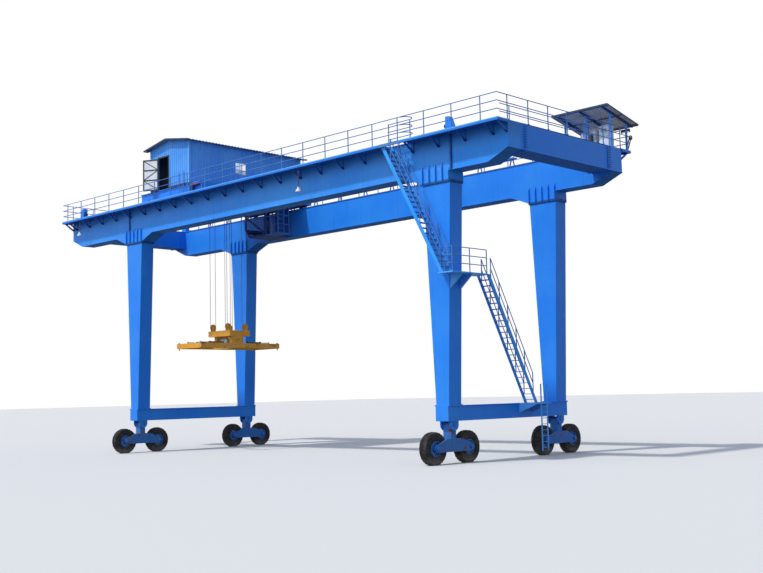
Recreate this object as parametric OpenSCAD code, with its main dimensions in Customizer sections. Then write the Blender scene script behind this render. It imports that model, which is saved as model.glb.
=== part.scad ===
// Rubber tyred gantry crane with two box girders, an overhung walkway on
// each side and a trolley that carries a machinery house and a cab.
// X runs along the girders, Y across them, Z up. The origin lies on the ground.
// The near side is -Y, and the short cantilever is at +X.

/* [Overall] */
// Length of the walkway deck
deck_l = 36650; // [34000:50:39000]
// Height of the walkway deck above the ground
deck_z = 15000; // [13000:50:17000]
// Distance between the two pairs of legs
leg_span = 25000; // [22000:50:26000]
// Distance from the short end of the deck to the legs
short_reach = 4300; // [4000:50:6000]
// Distance between the middles of the two girders
gauge = 8200; // [7800:50:9000]

/* [Girders] */
// Width of a girder
girder_w = 850; // [700:10:1000]
// Depth of a girder between the legs
girder_h = 1700; // [1400:10:2000]
// Depth of a girder at its ends
girder_end_h = 1200; // [1000:10:1300]
// Length over which the underside rises at each end
taper_l = 1150; // [800:10:1500]
// Distance from the end of the deck to the end of a girder
end_setback = 60; // [20:10:200]
// Thickness of the flange plates
flange_t = 25; // [15:1:40]
// Overhang of the flange plates beyond the webs
flange_lip = 40; // [20:5:80]
// Drop of the leg head below the girder
head_drop = 460; // [300:10:700]
// Length of the sloping haunch beside a leg head
haunch_l = 1150; // [600:10:1500]
// Thickness of the bolted flange at the top of a leg
bolt_flange_t = 40; // [25:5:60]
// Overhang of the bolted flange
bolt_flange_lip = 45; // [20:5:80]
// Number of stiffeners on a leg head
stiffener_n = 5; // [3:1:7]
// Height of a leg head stiffener
stiffener_h = 860; // [400:10:1200]
// Stand-out of a leg head stiffener
stiffener_d = 110; // [60:5:140]
// Thickness of a leg head stiffener
stiffener_t = 24; // [12:1:40]
// Height of the short stiffener beside the cable duct
short_stiffener_h = 600; // [300:10:1000]
// Width of a cable duct on the near girder
duct_w = 90; // [60:5:120]
// Stand-out of a cable duct
duct_d = 70; // [40:5:100]

/* [End beams] */
// Width of an end beam
end_beam_w = 1150; // [800:10:1400]
// Distance from the girder web to the bolted splice
splice_out = 380; // [200:10:600]
// Thickness of a bolted splice
splice_t = 60; // [30:5:100]
// Stand-out of a bolted splice
splice_lip = 35; // [20:5:60]

/* [Walkways] */
// Width of a walkway outside its girder
walk_w = 800; // [600:10:1000]
// Thickness of the walkway plate
walk_t = 40; // [20:5:60]
// Depth of the edge channel
edge_h = 140; // [100:5:200]
// Thickness of the edge channel
edge_t = 30; // [20:1:50]
// Width of the edge channel's flanges
edge_flange = 70; // [50:5:100]
// Distance between the walkway brackets
bracket_gap = 1600; // [1400:50:2400]
// Distance from the short end of the deck to the first bracket
bracket_start = 860; // [300:10:1200]
// Drop of a bracket's foot below the deck
bracket_drop = 560; // [400:10:700]
// Width of a bracket's bars
bracket_bar = 60; // [40:5:80]
// Length of the stair opening in the deck
stair_hole_l = 1300; // [1000:10:1600]

/* [Handrails] */
// Height of a handrail
rail_h = 1100; // [1000:10:1200]
// Diameter of the handrail tubes
rail_d = 42; // [34:1:60]
// Diameter of the handrail posts
post_d = 50; // [40:1:70]
// Distance between handrail posts
post_gap = 1668; // [1200:4:2000]
// Distance from the short end of the deck to the first post
post_start = 990; // [600:10:1300]
// Distance from the deck's edge to the handrail
rail_inset = 60; // [40:5:120]
// Distance between the posts of the end handrails
end_post_gap = 1500; // [1200:10:1800]
// Distance from the ends of an end handrail to its first posts
end_post_start = 700; // [400:10:1200]
// Gap between an end handrail and the side handrails
end_rail_gap = 2; // [1:1:10]

/* [Trolley rails] */
// Height of a trolley rail
track_h = 130; // [110:5:170]
// Width of a trolley rail's head
track_head = 70; // [60:2:90]
// Width of a trolley rail's foot
track_foot = 130; // [110:5:160]
// Distance from the long end of the deck to the end stop's face
long_stop = 870; // [750:10:3000]
// Distance from the short end of the deck to the end stop's face
short_stop = 3900; // [3500:50:5000]
// Height of an end stop above the girder
stop_h = 900; // [750:10:1100]
// Width of an end stop
stop_w = 300; // [260:10:400]
// Length of an end stop at its top
stop_top = 200; // [120:10:300]
// Length of an end stop at its foot
stop_foot = 560; // [400:10:640]
// Diameter of a buffer pad
pad_d = 220; // [160:10:240]
// Length of a buffer pad
pad_l = 120; // [60:10:200]

/* [Legs] */
// Width of a leg at its top
leg_top_w = 1640; // [1400:10:1800]
// Width of a leg at its foot
leg_foot_w = 760; // [600:10:1000]
// Width of a leg across the girders
leg_d = 850; // [600:10:1000]

/* [Running gear] */
// Diameter of a tyre
tyre_d = 1500; // [1300:10:1700]
// Width of a tyre
tyre_w = 440; // [360:10:520]
// Diameter of a wheel rim
rim_d = 700; // [600:10:800]
// Sag of a loaded tyre at the ground
tyre_sag = 25; // [10:1:40]
// Distance between the two wheels of a bogie
wheel_gap = 2300; // [2200:10:2600]
// Depth of a sill beam
sill_h = 700; // [500:10:900]
// Width of a sill beam
sill_w = 760; // [640:10:900]
// Clearance between a tyre and the sill beam
sill_gap = 450; // [300:10:600]
// Thickness of a bogie's side plates
cheek_t = 50; // [30:5:80]
// Gap between a tyre and a side plate
cheek_gap = 40; // [25:5:80]
// Diameter of a wheel axle
axle_d = 180; // [120:5:240]
// Diameter of the bogie pivot pin
pivot_d = 220; // [160:5:300]

/* [Stairs] */
// Distance from the leg's middle back to the top of the stair
stair_back = 2880; // [2600:10:3300]
// Distance from the deck's edge to the stair
stair_edge = 110; // [90:5:160]
// Width of the stair over its stringers
stair_w = 640; // [560:10:700]
// Rise of one tread
tread_rise = 265; // [220:5:300]
// Angle of the stair from level
stair_angle = 61; // [50:1:68]
// Height of the landing above the ground
landing_z = 8600; // [6000:50:9500]
// Depth of a stringer
stringer_h = 180; // [140:5:240]
// Thickness of a stringer
stringer_t = 24; // [12:1:40]
// Depth of a tread
tread_d = 210; // [160:5:260]
// Thickness of a tread
tread_t = 34; // [20:1:50]
// Width of the landing
landing_w = 800; // [700:10:1000]
// Thickness of a landing
landing_t = 60; // [40:5:100]
// Length of the landing beyond the stair's foot and side
landing_lap = 60; // [40:5:100]
// Length of the landing beyond the near girder's inner web
landing_past = 950; // [700:10:1200]
// Depth of the brackets under the landing
landing_knee_h = 700; // [400:10:900]
// Thickness of the brackets under the landings
knee_t = 80; // [50:5:120]
// Length of the low landing
low_landing_l = 1200; // [1000:10:1500]
// Depth of the brackets under the low landing
low_knee_h = 460; // [300:10:600]
// Height of the access ladder's foot above the ground
access_z = 350; // [300:10:600]
// Width of the access ladder
access_w = 460; // [400:10:560]
// Distance between the rungs of a ladder
rung_gap = 280; // [220:5:320]
// Diameter of the rungs
rung_d = 30; // [20:1:36]

/* [Trolley] */
// Length of the trolley along the rails
trolley_l = 6200; // [6000:50:7000]
// Distance from the trolley's middle to the long end of the deck
trolley_at = 10900; // [6000:50:24000]
// Depth of the trolley's beams
trolley_h = 530; // [450:10:600]
// Width of the trolley's side beams
carriage_w = 340; // [300:10:420]
// Diameter of a trolley wheel
roller_d = 500; // [400:10:600]
// Diameter of a trolley wheel's axle
roller_axle_d = 110; // [80:5:140]
// Width of the trolley's cross beams
beam_w = 300; // [240:10:340]
// Distance between the trolley's wheels
roller_gap = 4600; // [3800:50:5000]
// Height of the house floor above the deck
floor_up = 800; // [720:10:1000]
// Thickness of the house floor
floor_t = 50; // [30:5:80]

// Distance from the trolley's middle to the middle of its ladder
ladder_at = 1300; // [900:10:1500]
// Width of the trolley's ladder
ladder_w = 450; // [380:10:500]
// Height of the ladder's top above the house floor
ladder_up = 740; // [500:10:1000]
// Diameter of the ladder's stiles
stile_d = 42; // [30:1:50]
// Stand-out of a travel drive from its side beam
drive_w = 200; // [160:10:220]
// Length of a travel motor
motor_l = 560; // [400:10:700]
// Diameter of a travel motor
motor_d = 190; // [140:5:200]

/* [Cable trough] */
// Distance between the stands of the cable trough
stand_gap = 2250; // [1900:10:2600]
// Number of stands
stand_n = 13; // [8:1:13]
// Distance from the short end of the deck to the first stand
stand_start = 6940; // [5000:20:8000]
// Spread of a stand at its foot
stand_foot = 500; // [300:10:700]
// Spread of a stand at its top
stand_head = 170; // [120:10:260]
// Width of a stand's bars
stand_bar = 50; // [30:1:50]
// Width of the cable trough
trough_w = 220; // [140:10:240]
// Height of the cable trough's sides
trough_h = 90; // [50:5:140]
// Thickness of the cable trough's sheet
trough_t = 10; // [5:1:15]
// Distance from the far girder's web to the trough's middle
trough_out = 170; // [170:10:300]
// Clearance between the cable trough and the trolley's floor
trough_clear = 30; // [20:5:60]

/* [Machinery house] */
// Width of the house along the rails
house_w = 3950; // [3400:50:4400]
// Length of the house across the girders
house_l = 8700; // [8000:50:9000]
// Height of the eaves above the floor
eave_h = 2600; // [2200:10:3000]
// Rise of the roof at its ridge
ridge_rise = 330; // [150:10:600]
// Thickness of a wall
wall_t = 60; // [40:5:100]
// Thickness of the roof
roof_t = 60; // [40:5:100]
// Overhang of the roof
roof_over = 330; // [150:10:450]
// Width of the doorway
door_w = 1050; // [800:10:1200]
// Height of the doorway
door_h = 1960; // [1800:10:2100]
// Distance from the house's left corner to the doorway
door_at = 820; // [400:10:1000]
// Thickness of the door leaf
leaf_t = 50; // [40:1:70]
// Angle at which the door leaf stands open
leaf_open = 150; // [135:1:170]
// Distance from the front gable to the window
window_at = 3400; // [2600:50:5000]
// Width of the window
window_w = 900; // [600:10:1200]
// Height of the window
window_h = 800; // [500:10:1000]
// Height of the window sill above the floor
window_up = 950; // [800:10:1300]

/* [Cab] */
// Distance from the house's right side to the cab's right end
cab_short = 25; // [10:5:60]
// Width of the cab across the girders
cab_w = 1900; // [1500:50:2200]
// Clearance between the cab's roof and the trolley's beams
cab_gap = 120; // [80:10:200]
// Depth of the cab's floor below the deck
cab_down = 1800; // [1780:10:2300]
// Thickness of the cab's shell
cab_t = 60; // [40:5:80]
// Distance from the trolley's middle to the cab's left end
cab_at = -100; // [-140:10:-60]
// Distance from the far girder's middle to the cab's middle
cab_in = 1725; // [1500:25:2400]
// Height over which the cab's front slopes in to the floor
rake_h = 550; // [400:10:700]
// Length over which the cab's front slopes in to the floor
rake_l = 420; // [300:10:600]
// Width of the frames round the cab's windows
pane_in = 110; // [90:5:150]
// Thickness of the cab's panes
pane_t = 10; // [6:1:16]
// Width of the slanting brace in the cab's near side
brace_w = 90; // [60:5:120]
// Distance from the cab's roof down to the brace's upper end
brace_down = 620; // [300:10:800]
// Width of the cab's door
cab_door_w = 700; // [600:10:800]
// Width of the hangers of the cab
hanger_w = 100; // [80:5:140]
// Width of the platform at the cab's door
platform_w = 950; // [900:10:1100]
// Length of the platform beyond the trolley's right end
platform_past = 60; // [50:5:120]
// Distance from the platform's end to the post of its railing
platform_rail = 700; // [500:10:800]
// Thickness of the cab's sliding door
cab_leaf_t = 35; // [25:5:45]
// Thickness of the platform
platform_t = 60; // [40:5:80]

/* [Hoist] */
// Diameter of a hoist rope
rope_d = 26; // [20:1:36]
// Height of the spreader's underside above the ground
spreader_z = 6200; // [3000:50:8000]
// Length of the spreader between its twistlocks
lock_l = 5853; // [5853:1:5853]
// Width of the spreader between its twistlocks
lock_w = 2259; // [2259:1:2259]
// Diameter of a twistlock
lock_d = 62; // [50:1:70]
// Distance between the sheaves along the rails
fall_x = 1500; // [1300:10:1800]
// Distance between the sheaves across the girders
fall_y = 1300; // [1000:10:1400]
// Diameter of a sheave to the middle of its rope
sheave_d = 400; // [300:10:440]
// Width of a sheave
sheave_w = 60; // [50:1:90]
// Length of the headblock beyond its sheaves
block_over = 320; // [300:10:400]
// Width of the headblock's beams
block_w = 260; // [200:10:300]
// Depth of the headblock
block_h = 350; // [300:10:450]
// Height of the headblock above the spreader's underside
block_up = 750; // [650:10:1200]
// Width of the spreader's long beams
long_beam_w = 180; // [140:5:220]
// Width of the spreader's end beams
end_arm_w = 200; // [160:5:260]
// Depth of the spreader's beams
arm_h = 300; // [240:10:360]
// Width of the spreader's middle frame across the rails
core_l = 900; // [700:10:1200]
// Length of a twistlock below the spreader
lock_h = 110; // [80:5:130]

/* [Canopy] */
// Length of the canopy along the girders
canopy_l = 3300; // [2800:10:3400]
// Width of the canopy across the girders
canopy_w = 2800; // [2400:10:2850]
// Overhang of the canopy beyond the deck's end
canopy_over = 200; // [50:10:300]
// Overhang of the canopy beyond the deck's far edge
canopy_out = 500; // [300:10:600]
// Height of the canopy's high edge
canopy_h = 1950; // [1800:10:2300]
// Fall of the canopy's roof
canopy_fall = 600; // [200:10:700]
// Thickness of the canopy's roof
canopy_t = 50; // [30:5:80]
// Width of the canopy's posts
canopy_post = 80; // [60:5:120]
// Depth of the canopy's rafters
rafter_h = 100; // [60:5:140]
// Distance from the canopy's edges to its rafters
rafter_in = 60; // [20:5:120]
// Distance from the canopy's ends to the outer posts
post_in = 330; // [250:10:500]
// Depth of the cabinets under the canopy
cabinet_d = 450; // [350:10:550]
// Height of the low cabinet
cabinet_h = 1000; // [800:10:1200]
// Length of the low cabinet
cabinet_l = 800; // [600:10:900]
// Height of the tall cabinet
tall_h = 1150; // [900:10:1200]
// Length of the tall cabinet
tall_l = 550; // [450:10:650]
// Distance from the deck's end to the tall cabinet
cabinet_at = 350; // [300:10:500]
// Gap between the two cabinets
cabinet_gap = 200; // [100:10:400]

/* [Lamps and cable guide] */
// Distance from the short end of the deck to the first floodlight
lamp_short = 13100; // [9000:50:16000]
// Distance from the long end of the deck to the second floodlight
lamp_long = 2050; // [1200:50:4000]
// Drop of the first floodlight below the edge channel
lamp_drop = 1240; // [600:10:1600]
// Drop of the second floodlight below the edge channel
lamp_drop_long = 1000; // [600:10:1600]
// Diameter of a floodlight's bell
lamp_d = 310; // [220:5:420]
// Height of a floodlight's bell
lamp_h = 270; // [180:5:340]
// Diameter of a floodlight's rod
lamp_rod_d = 36; // [26:1:50]
// Reach of the cable guide beyond the deck
guide_out = 480; // [300:10:500]
// Rise of the cable guide above the deck
guide_up = 820; // [500:10:1100]
// Width of the cable guide's arm
guide_w = 60; // [40:5:100]
// Diameter of the cable guide's sheave
guide_d = 240; // [180:10:260]
// Distance from the deck's end to the cable guide
guide_at = 300; // [200:10:600]

/* [Hidden] */
$fn = 48;

// Overall places
x_left = -(deck_l + canopy_over) / 2;
x_right = x_left + deck_l;
leg_right = x_right - short_reach;
leg_left = leg_right - leg_span;
half_gauge = gauge / 2;
web_out = half_gauge + girder_w / 2;
web_in = half_gauge - girder_w / 2;
deck_half = web_out + walk_w;
girder_left = x_left + end_setback;
girder_right = x_right - end_setback;
head_z = deck_z - girder_h - head_drop;
leg_top_z = head_z - bolt_flange_t;
canopy_y1 = deck_half + canopy_out;
canopy_y0 = canopy_y1 - canopy_w;
bolt_flange_w = leg_top_w + 2 * bolt_flange_lip;
stiffener_step = (leg_top_w - stiffener_t) / (stiffener_n - 1);
duct_gap = 10;
tube_fn = 8;
seat = 0.3;

// Running gear places
axle_z = tyre_d / 2 - tyre_sag;
sill_z = axle_z + tyre_d / 2 + sill_gap;
sill_top = sill_z + sill_h;
sill_l = 2 * web_out;
cheek_in = tyre_w / 2 + cheek_gap;
saddle_w = 640;
saddle_l = 560;

// Trolley places
trolley_x = x_left + trolley_at;
floor_z = deck_z + floor_up;
beam_z = floor_z - floor_t - trolley_h;
roller_z = deck_z + track_h + roller_d / 2 + seat;
house_left = trolley_x - house_w / 2;
house_right = trolley_x + house_w / 2;
house_y = house_l / 2;
eave_z = floor_z + eave_h;
ridge_z = eave_z + ridge_rise;
cab_left = trolley_x + cab_at;
cab_mid_y = half_gauge - cab_in;
cab_right = house_right - cab_short;
platform_x = trolley_x + trolley_l / 2 + platform_past;
cab_z = deck_z - cab_down;
cab_top = beam_z - cab_gap;
block_z = spreader_z + block_up;
sheave_z = block_z + block_h + sheave_d / 2 + rope_d;
trough_y = web_out + trough_out;
stair_lap = 10;
trough_top = floor_z - floor_t - trough_clear;
rail_gap = 20;

// Stair places
stair_top_x = leg_right - stair_back;
stair_y = -deck_half + stair_edge + stair_w / 2;
stair_run = 1 / tan(stair_angle);
stair_foot_x = stair_top_x + (deck_z - walk_t - landing_z) * stair_run;
landing_x0 = stair_foot_x - landing_lap;
landing_in = -web_in + landing_past;
low_landing_z = sill_top;
lower_top_y = landing_in;
lower_foot_y = lower_top_y + (landing_z - low_landing_z) * stair_run;
lower_x = landing_x0 + landing_lap + landing_w / 2;
landing_x1 = lower_x + stair_w / 2 + landing_lap;
landing_edge = stair_y - stair_w / 2 - stair_lap;

// Height of the underside of the canopy's roof at a place across the girders
function canopy_z(y) = deck_z + canopy_h
    - canopy_fall * (y - canopy_y0) / (canopy_y1 - canopy_y0);

// A shape drawn as (x, z) and given a width along Y
module along_y(w) {
    rotate([90, 0, 0]) linear_extrude(w, center = true) children();
}

// A shape drawn as (y, z) and given a width along X
module along_x(w) {
    rotate([90, 0, 90]) linear_extrude(w, center = true) children();
}

// A straight tube from one point to another
module tube(a, b, d, n = tube_fn) {
    v = b - a;
    translate(a)
        rotate([0, acos(v[2] / norm(v)), atan2(v[1], v[0])])
            cylinder(h = norm(v), d = d, $fn = n);
}

// A box given by its lowest and highest corners
module block(a, b) {
    translate(a) cube(b - a);
}

// Underside and top of a girder seen from the side
function girder_points() = [
    [girder_left, deck_z],
    [girder_left, deck_z - girder_end_h],
    [girder_left + taper_l, deck_z - girder_h],
    [leg_left - leg_top_w / 2 - haunch_l, deck_z - girder_h],
    [leg_left - leg_top_w / 2, head_z],
    [leg_left + leg_top_w / 2, head_z],
    [leg_left + leg_top_w / 2 + haunch_l, deck_z - girder_h],
    [leg_right - leg_top_w / 2 - haunch_l, deck_z - girder_h],
    [leg_right - leg_top_w / 2, head_z],
    [leg_right + leg_top_w / 2, head_z],
    [leg_right + leg_top_w / 2, deck_z - girder_h],
    [girder_right - taper_l, deck_z - girder_h],
    [girder_right, deck_z - girder_end_h],
    [girder_right, deck_z]
];

// One box girder with its flanges, leg heads and stiffeners
module girder(side) {
    color("dodgerblue") translate([0, side * half_gauge, 0]) {
        along_y(girder_w) polygon(girder_points());
        girder_flanges();
        for (x = [leg_left, leg_right]) {
            block([x - bolt_flange_w / 2, -leg_d / 2 - bolt_flange_lip, head_z],
                  [x + bolt_flange_w / 2, leg_d / 2 + bolt_flange_lip,
                   head_z + bolt_flange_t]);
            for (i = [0 : stiffener_n - 1], face = [-1, 1])
                leg_head_stiffener(x, i, face, side < 0 && x == leg_right
                    && i == stiffener_n - 1 ? short_stiffener_h : stiffener_h);
        }
    }
}

// The flange plates of one girder, wider than its webs
module girder_flanges() {
    along_y(girder_w + 2 * flange_lip) difference() {
        polygon(girder_points());
        translate([0, flange_t]) polygon(girder_points());
    }
    block([girder_left, -girder_w / 2 - flange_lip, deck_z - flange_t],
          [girder_right, girder_w / 2 + flange_lip, deck_z]);
}

// One stiffener plate on a leg head
module leg_head_stiffener(x, i, face, high) {
    at = x - (leg_top_w - stiffener_t) / 2 + i * stiffener_step;
    top = head_z + bolt_flange_t + high;
    base = face * girder_w / 2;
    tip = face * (girder_w / 2 + stiffener_d);
    translate([at, 0, 0]) along_x(stiffener_t)
        polygon([[base, head_z + bolt_flange_t], [tip, head_z + bolt_flange_t],
                 [tip, top - 2 * stiffener_d], [base, top]]);
}

// The upright cable ducts on the outer web of the near girder
module cable_ducts() {
    right_x = leg_right + leg_top_w / 2 + duct_w;
    left_x = leg_left - (leg_top_w - stiffener_t) / 2 + stiffener_step
        - stiffener_t / 2 - duct_gap - duct_w;
    color("royalblue") {
        block([right_x, -web_out - duct_d, deck_z - girder_h + flange_t],
              [right_x + duct_w, -web_out, deck_z - walk_t]);
        block([left_x, -web_out - duct_d, head_z + bolt_flange_t],
              [left_x + duct_w, -web_out, deck_z - walk_t]);
    }
}

// One beam across the ends of the two girders
module end_beam(side) {
    outer = side > 0 ? girder_right : girder_left;
    mid = outer - side * end_beam_w / 2;
    bottom = deck_z - girder_end_h;
    color("royalblue") difference() {
        translate([mid, 0, 0]) {
            block([-end_beam_w / 2, -web_in, bottom],
                  [end_beam_w / 2, web_in, deck_z]);
            for (s = [-1, 1])
                translate([0, s * (web_in - splice_out), 0])
                    block([-end_beam_w / 2 - splice_lip, -splice_t / 2,
                           bottom - splice_lip],
                          [end_beam_w / 2 + splice_lip, splice_t / 2, deck_z]);
        }
        for (s = [-1, 1])
            translate([0, s * half_gauge, 0]) girder_flanges();
    }
}

// A walkway plate with its edge channel and brackets, on one side
module walkway(side) {
    color("deepskyblue") difference() {
        mirror([0, side < 0 ? 1 : 0, 0]) {
            block([x_left, web_out + flange_lip, deck_z - walk_t],
                  [x_right, deck_half, deck_z]);
            edge_channel(x_left, x_right);
            for (x = [x_left, x_right - edge_t])
                block([x, web_out + flange_lip, deck_z - edge_h],
                      [x + edge_t, deck_half, deck_z]);
        }
        if (side < 0) stair_hole();
    }
    color("royalblue") mirror([0, side < 0 ? 1 : 0, 0]) brackets(side);
}

// A length of the channel along the outer edge of a walkway
module edge_channel(x0, x1) {
    low = deck_z - edge_h;
    block([x0, deck_half - edge_t, low], [x1, deck_half, deck_z]);
    block([x0, deck_half - edge_flange, low], [x1, deck_half, low + walk_t / 2]);
}

// The gap in the near walkway over the stair
module stair_hole() {
    block([stair_top_x, -deck_half - 1, deck_z - edge_h - 1],
          [stair_top_x + stair_hole_l, -web_out, deck_z + 1]);
}

// The row of brackets under a walkway, moved aside at the stair opening
module brackets(side) {
    n = floor((deck_l - bracket_start - 250) / bracket_gap);
    hole_0 = stair_top_x - bracket_bar / 2;
    hole_1 = stair_top_x + stair_hole_l + bracket_bar;
    for (i = [0 : n]) {
        x = x_right - bracket_start - i * bracket_gap;
        if (side > 0 || x < hole_0 - 2 * bracket_bar || x > hole_1) bracket(x);
    }
    if (side < 0) bracket(hole_0);
    bracket(girder_left + bracket_bar);
    bracket(girder_right - bracket_bar);
}

// One bracket: a level arm, a strut down to the web and a knee along the web
module bracket(x) {
    arm = deck_z - walk_t;
    foot = deck_z - bracket_drop;
    edge = deck_half - edge_flange;
    translate([x, 0, 0]) along_x(bracket_bar) difference() {
        polygon([[web_out, arm], [web_out, foot],
                 [web_out + bracket_bar, foot], [edge, arm - bracket_bar],
                 [edge, arm]]);
        polygon([[web_out + bracket_bar / 2, arm - bracket_bar],
                 [web_out + bracket_bar / 2, foot + 1.6 * bracket_bar],
                 [edge - 2.2 * bracket_bar, arm - bracket_bar]]);
    }
}

// A straight run of handrail along X with posts at the given places
module rail_run(x0, x1, y, posts, base = deck_z) {
    for (k = [1 : 3])
        tube([x0, y, base + k * rail_h / 3], [x1, y, base + k * rail_h / 3], rail_d);
    for (x = posts)
        tube([x, y, base], [x, y, base + rail_h], post_d);
}

// A straight run of handrail along Y with posts at the given places
module rail_cross(x, y0, y1, posts, base = deck_z) {
    for (k = [1 : 3])
        tube([x, y0, base + k * rail_h / 3], [x, y1, base + k * rail_h / 3], rail_d);
    for (y = posts)
        tube([x, y, base], [x, y, base + rail_h], post_d);
}

// Places of the posts along a side handrail
function side_posts() = [
    for (i = [0 : floor((deck_l - post_start - 600) / post_gap)])
        x_right - post_start - i * post_gap
];

// The handrail along one walkway
module side_handrail(side) {
    color("steelblue")
        rail_run(x_left + rail_inset, x_right - rail_inset,
                 side * (deck_half - rail_inset), side_posts());
}

// The guard round the stair opening and the edge strip that closes it outside
module stair_guard() {
    y0 = -deck_half + rail_inset + rail_d + seat;
    y1 = -web_out - flange_lip;
    bend = (y1 - y0) / 2;
    x0 = stair_top_x - 2 * post_d;
    x1 = stair_top_x + stair_hole_l + post_d;
    color("steelblue") {
        rail_run(x0, x1, y1, [x0 + post_d, x1]);
        for (k = [1 : 3])
            translate([x1, y0 + bend, deck_z + k * rail_h / 3])
                rotate([0, 0, -90]) rotate_extrude(angle = 180, $fn = 48)
                    translate([bend, 0]) circle(d = rail_d, $fn = tube_fn);
    }
    color("deepskyblue") mirror([0, 1, 0]) {
        edge_channel(stair_top_x, stair_top_x + stair_hole_l);
        block([stair_top_x, -stair_y + stair_w / 2 - stair_lap, deck_z - walk_t],
              [stair_top_x + stair_hole_l, deck_half, deck_z]);
    }
}

// The handrails across the two ends and along the right end beam's inner edge
module end_handrails() {
    y = deck_half - rail_inset - rail_d / 2 - end_rail_gap;
    n = floor((2 * y - end_post_start) / end_post_gap);
    outer = [for (i = [0 : n]) -y + end_post_start + i * end_post_gap];
    inner = [-web_in + end_post_start, 0, web_in - end_post_start];
    color("steelblue") {
        rail_cross(x_right - rail_inset, -y, y, outer);
        rail_cross(x_left + rail_inset, -y, y, outer);
        rail_cross(girder_right - end_beam_w + post_d, -web_in, web_in, inner);
    }
}

// Cross-section of a trolley rail
function track_points() = [
    [-track_foot / 2, 0], [track_foot / 2, 0],
    [track_foot / 2, track_h * 0.09], [track_h * 0.07, track_h * 0.22],
    [track_h * 0.07, track_h * 0.66], [track_head / 2, track_h * 0.76],
    [track_head / 2, track_h], [-track_head / 2, track_h],
    [-track_head / 2, track_h * 0.76], [-track_h * 0.07, track_h * 0.66],
    [-track_h * 0.07, track_h * 0.22], [-track_foot / 2, track_h * 0.09]
];

// The two trolley rails
module trolley_rails() {
    x0 = x_left + long_stop + rail_gap;
    x1 = x_right - short_stop - rail_gap;
    color("dimgray") for (side = [-1, 1])
        translate([(x0 + x1) / 2, side * half_gauge, deck_z])
            along_x(x1 - x0) polygon(track_points());
}

// The four end stops beyond the ends of the rails
module rail_stops() {
    for (side = [-1, 1])
        translate([0, side * half_gauge, deck_z]) {
            translate([x_left + long_stop, 0, 0]) end_stop();
            translate([x_right - short_stop, 0, 0]) mirror([1, 0, 0]) end_stop();
        }
}

// One end stop with a round buffer pad that faces +X
module end_stop() {
    color("dodgerblue") along_y(stop_w)
        polygon([[0, 0], [0, stop_h], [-stop_top, stop_h], [-stop_foot, 0]]);
    color("#303030") translate([-stop_top / 2, 0, beam_z + trolley_h / 2 - deck_z])
        rotate([0, 90, 0]) cylinder(h = stop_top / 2 + pad_l, d = pad_d);
}

// One leg with its bolted top flange and its foot plate
module leg(x, side) {
    y = side * (web_out - leg_d / 2);
    color("dodgerblue") translate([x, y, 0]) {
        along_y(leg_d)
            polygon([[-leg_top_w / 2, leg_top_z], [leg_top_w / 2, leg_top_z],
                     [leg_foot_w / 2, sill_top + bolt_flange_t],
                     [-leg_foot_w / 2, sill_top + bolt_flange_t]]);
        block([-bolt_flange_w / 2, -leg_d / 2 - bolt_flange_lip, leg_top_z],
              [bolt_flange_w / 2, leg_d / 2 + bolt_flange_lip, head_z]);
        block([-leg_foot_w / 2 - 60, -leg_d / 2 - bolt_flange_lip, sill_top],
              [leg_foot_w / 2 + 60, leg_d / 2 + bolt_flange_lip,
               sill_top + bolt_flange_t]);
    }
}

// The beam along Y that joins the feet of two legs
module sill_beam(x) {
    color("dodgerblue") translate([x, 0, 0]) {
        block([-sill_w / 2, -sill_l / 2 - 60, sill_z],
              [sill_w / 2, sill_l / 2 + 60, sill_top]);
        block([-leg_foot_w / 2 - 60, -sill_l / 2 - 60, sill_top - flange_t],
              [leg_foot_w / 2 + 60, sill_l / 2 + 60, sill_top]);
        for (side = [-1, 1])
            translate([0, side * half_gauge, 0])
                for (s = [-1, 1])
                    translate([s * (saddle_w / 2 - 40), 0, 0]) pivot_ear();
    }
}

// One ear under a sill beam that holds a bogie's pivot pin
module pivot_ear() {
    difference() {
        union() {
            block([-40, -saddle_l / 2, sill_z - 160], [40, saddle_l / 2, sill_z]);
            translate([-40, 0, sill_z - 160]) rotate([0, 90, 0])
                cylinder(h = 80, r = saddle_l / 2);
        }
        translate([-50, 0, sill_z - 160]) rotate([0, 90, 0])
            cylinder(h = 100, d = pivot_d);
    }
}

// The two bogies under one sill beam
module bogies(x) {
    for (side = [-1, 1])
        color("royalblue") translate([x, side * half_gauge, 0]) bogie();
}

// One bogie: two side plates, a box between the wheels, a pivot pin and rims
module bogie() {
    pin_z = sill_z - 160;
    box_x = saddle_w / 2 - 90;
    for (s = [-1, 1])
        translate([s * (cheek_in + cheek_t / 2), 0, 0]) along_x(cheek_t) cheek_shape();
    block([-cheek_in, -wheel_gap / 2 + tyre_d / 2 + 60, axle_z - 150],
          [cheek_in, wheel_gap / 2 - tyre_d / 2 - 60, axle_z + 330]);
    block([-box_x, -180, axle_z + 330], [box_x, 180, pin_z]);
    translate([-saddle_w / 2 - 30, 0, pin_z]) rotate([0, 90, 0])
        cylinder(h = saddle_w + 60, d = pivot_d - 1);
    for (s = [-1, 1])
        translate([0, s * wheel_gap / 2, axle_z]) rotate([0, 90, 0]) wheel_rim();
}

// Outline of a bogie's side plate
module cheek_shape() {
    for (s = [-1, 1])
        translate([s * wheel_gap / 2, axle_z]) circle(r = axle_d * 0.95);
    polygon([[-wheel_gap / 2, axle_z - axle_d * 0.95],
             [wheel_gap / 2, axle_z - axle_d * 0.95],
             [wheel_gap / 2, axle_z + axle_d * 0.95],
             [wheel_gap / 2 - 620, axle_z + 420],
             [-wheel_gap / 2 + 620, axle_z + 420],
             [-wheel_gap / 2, axle_z + axle_d * 0.95]]);
}

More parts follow.
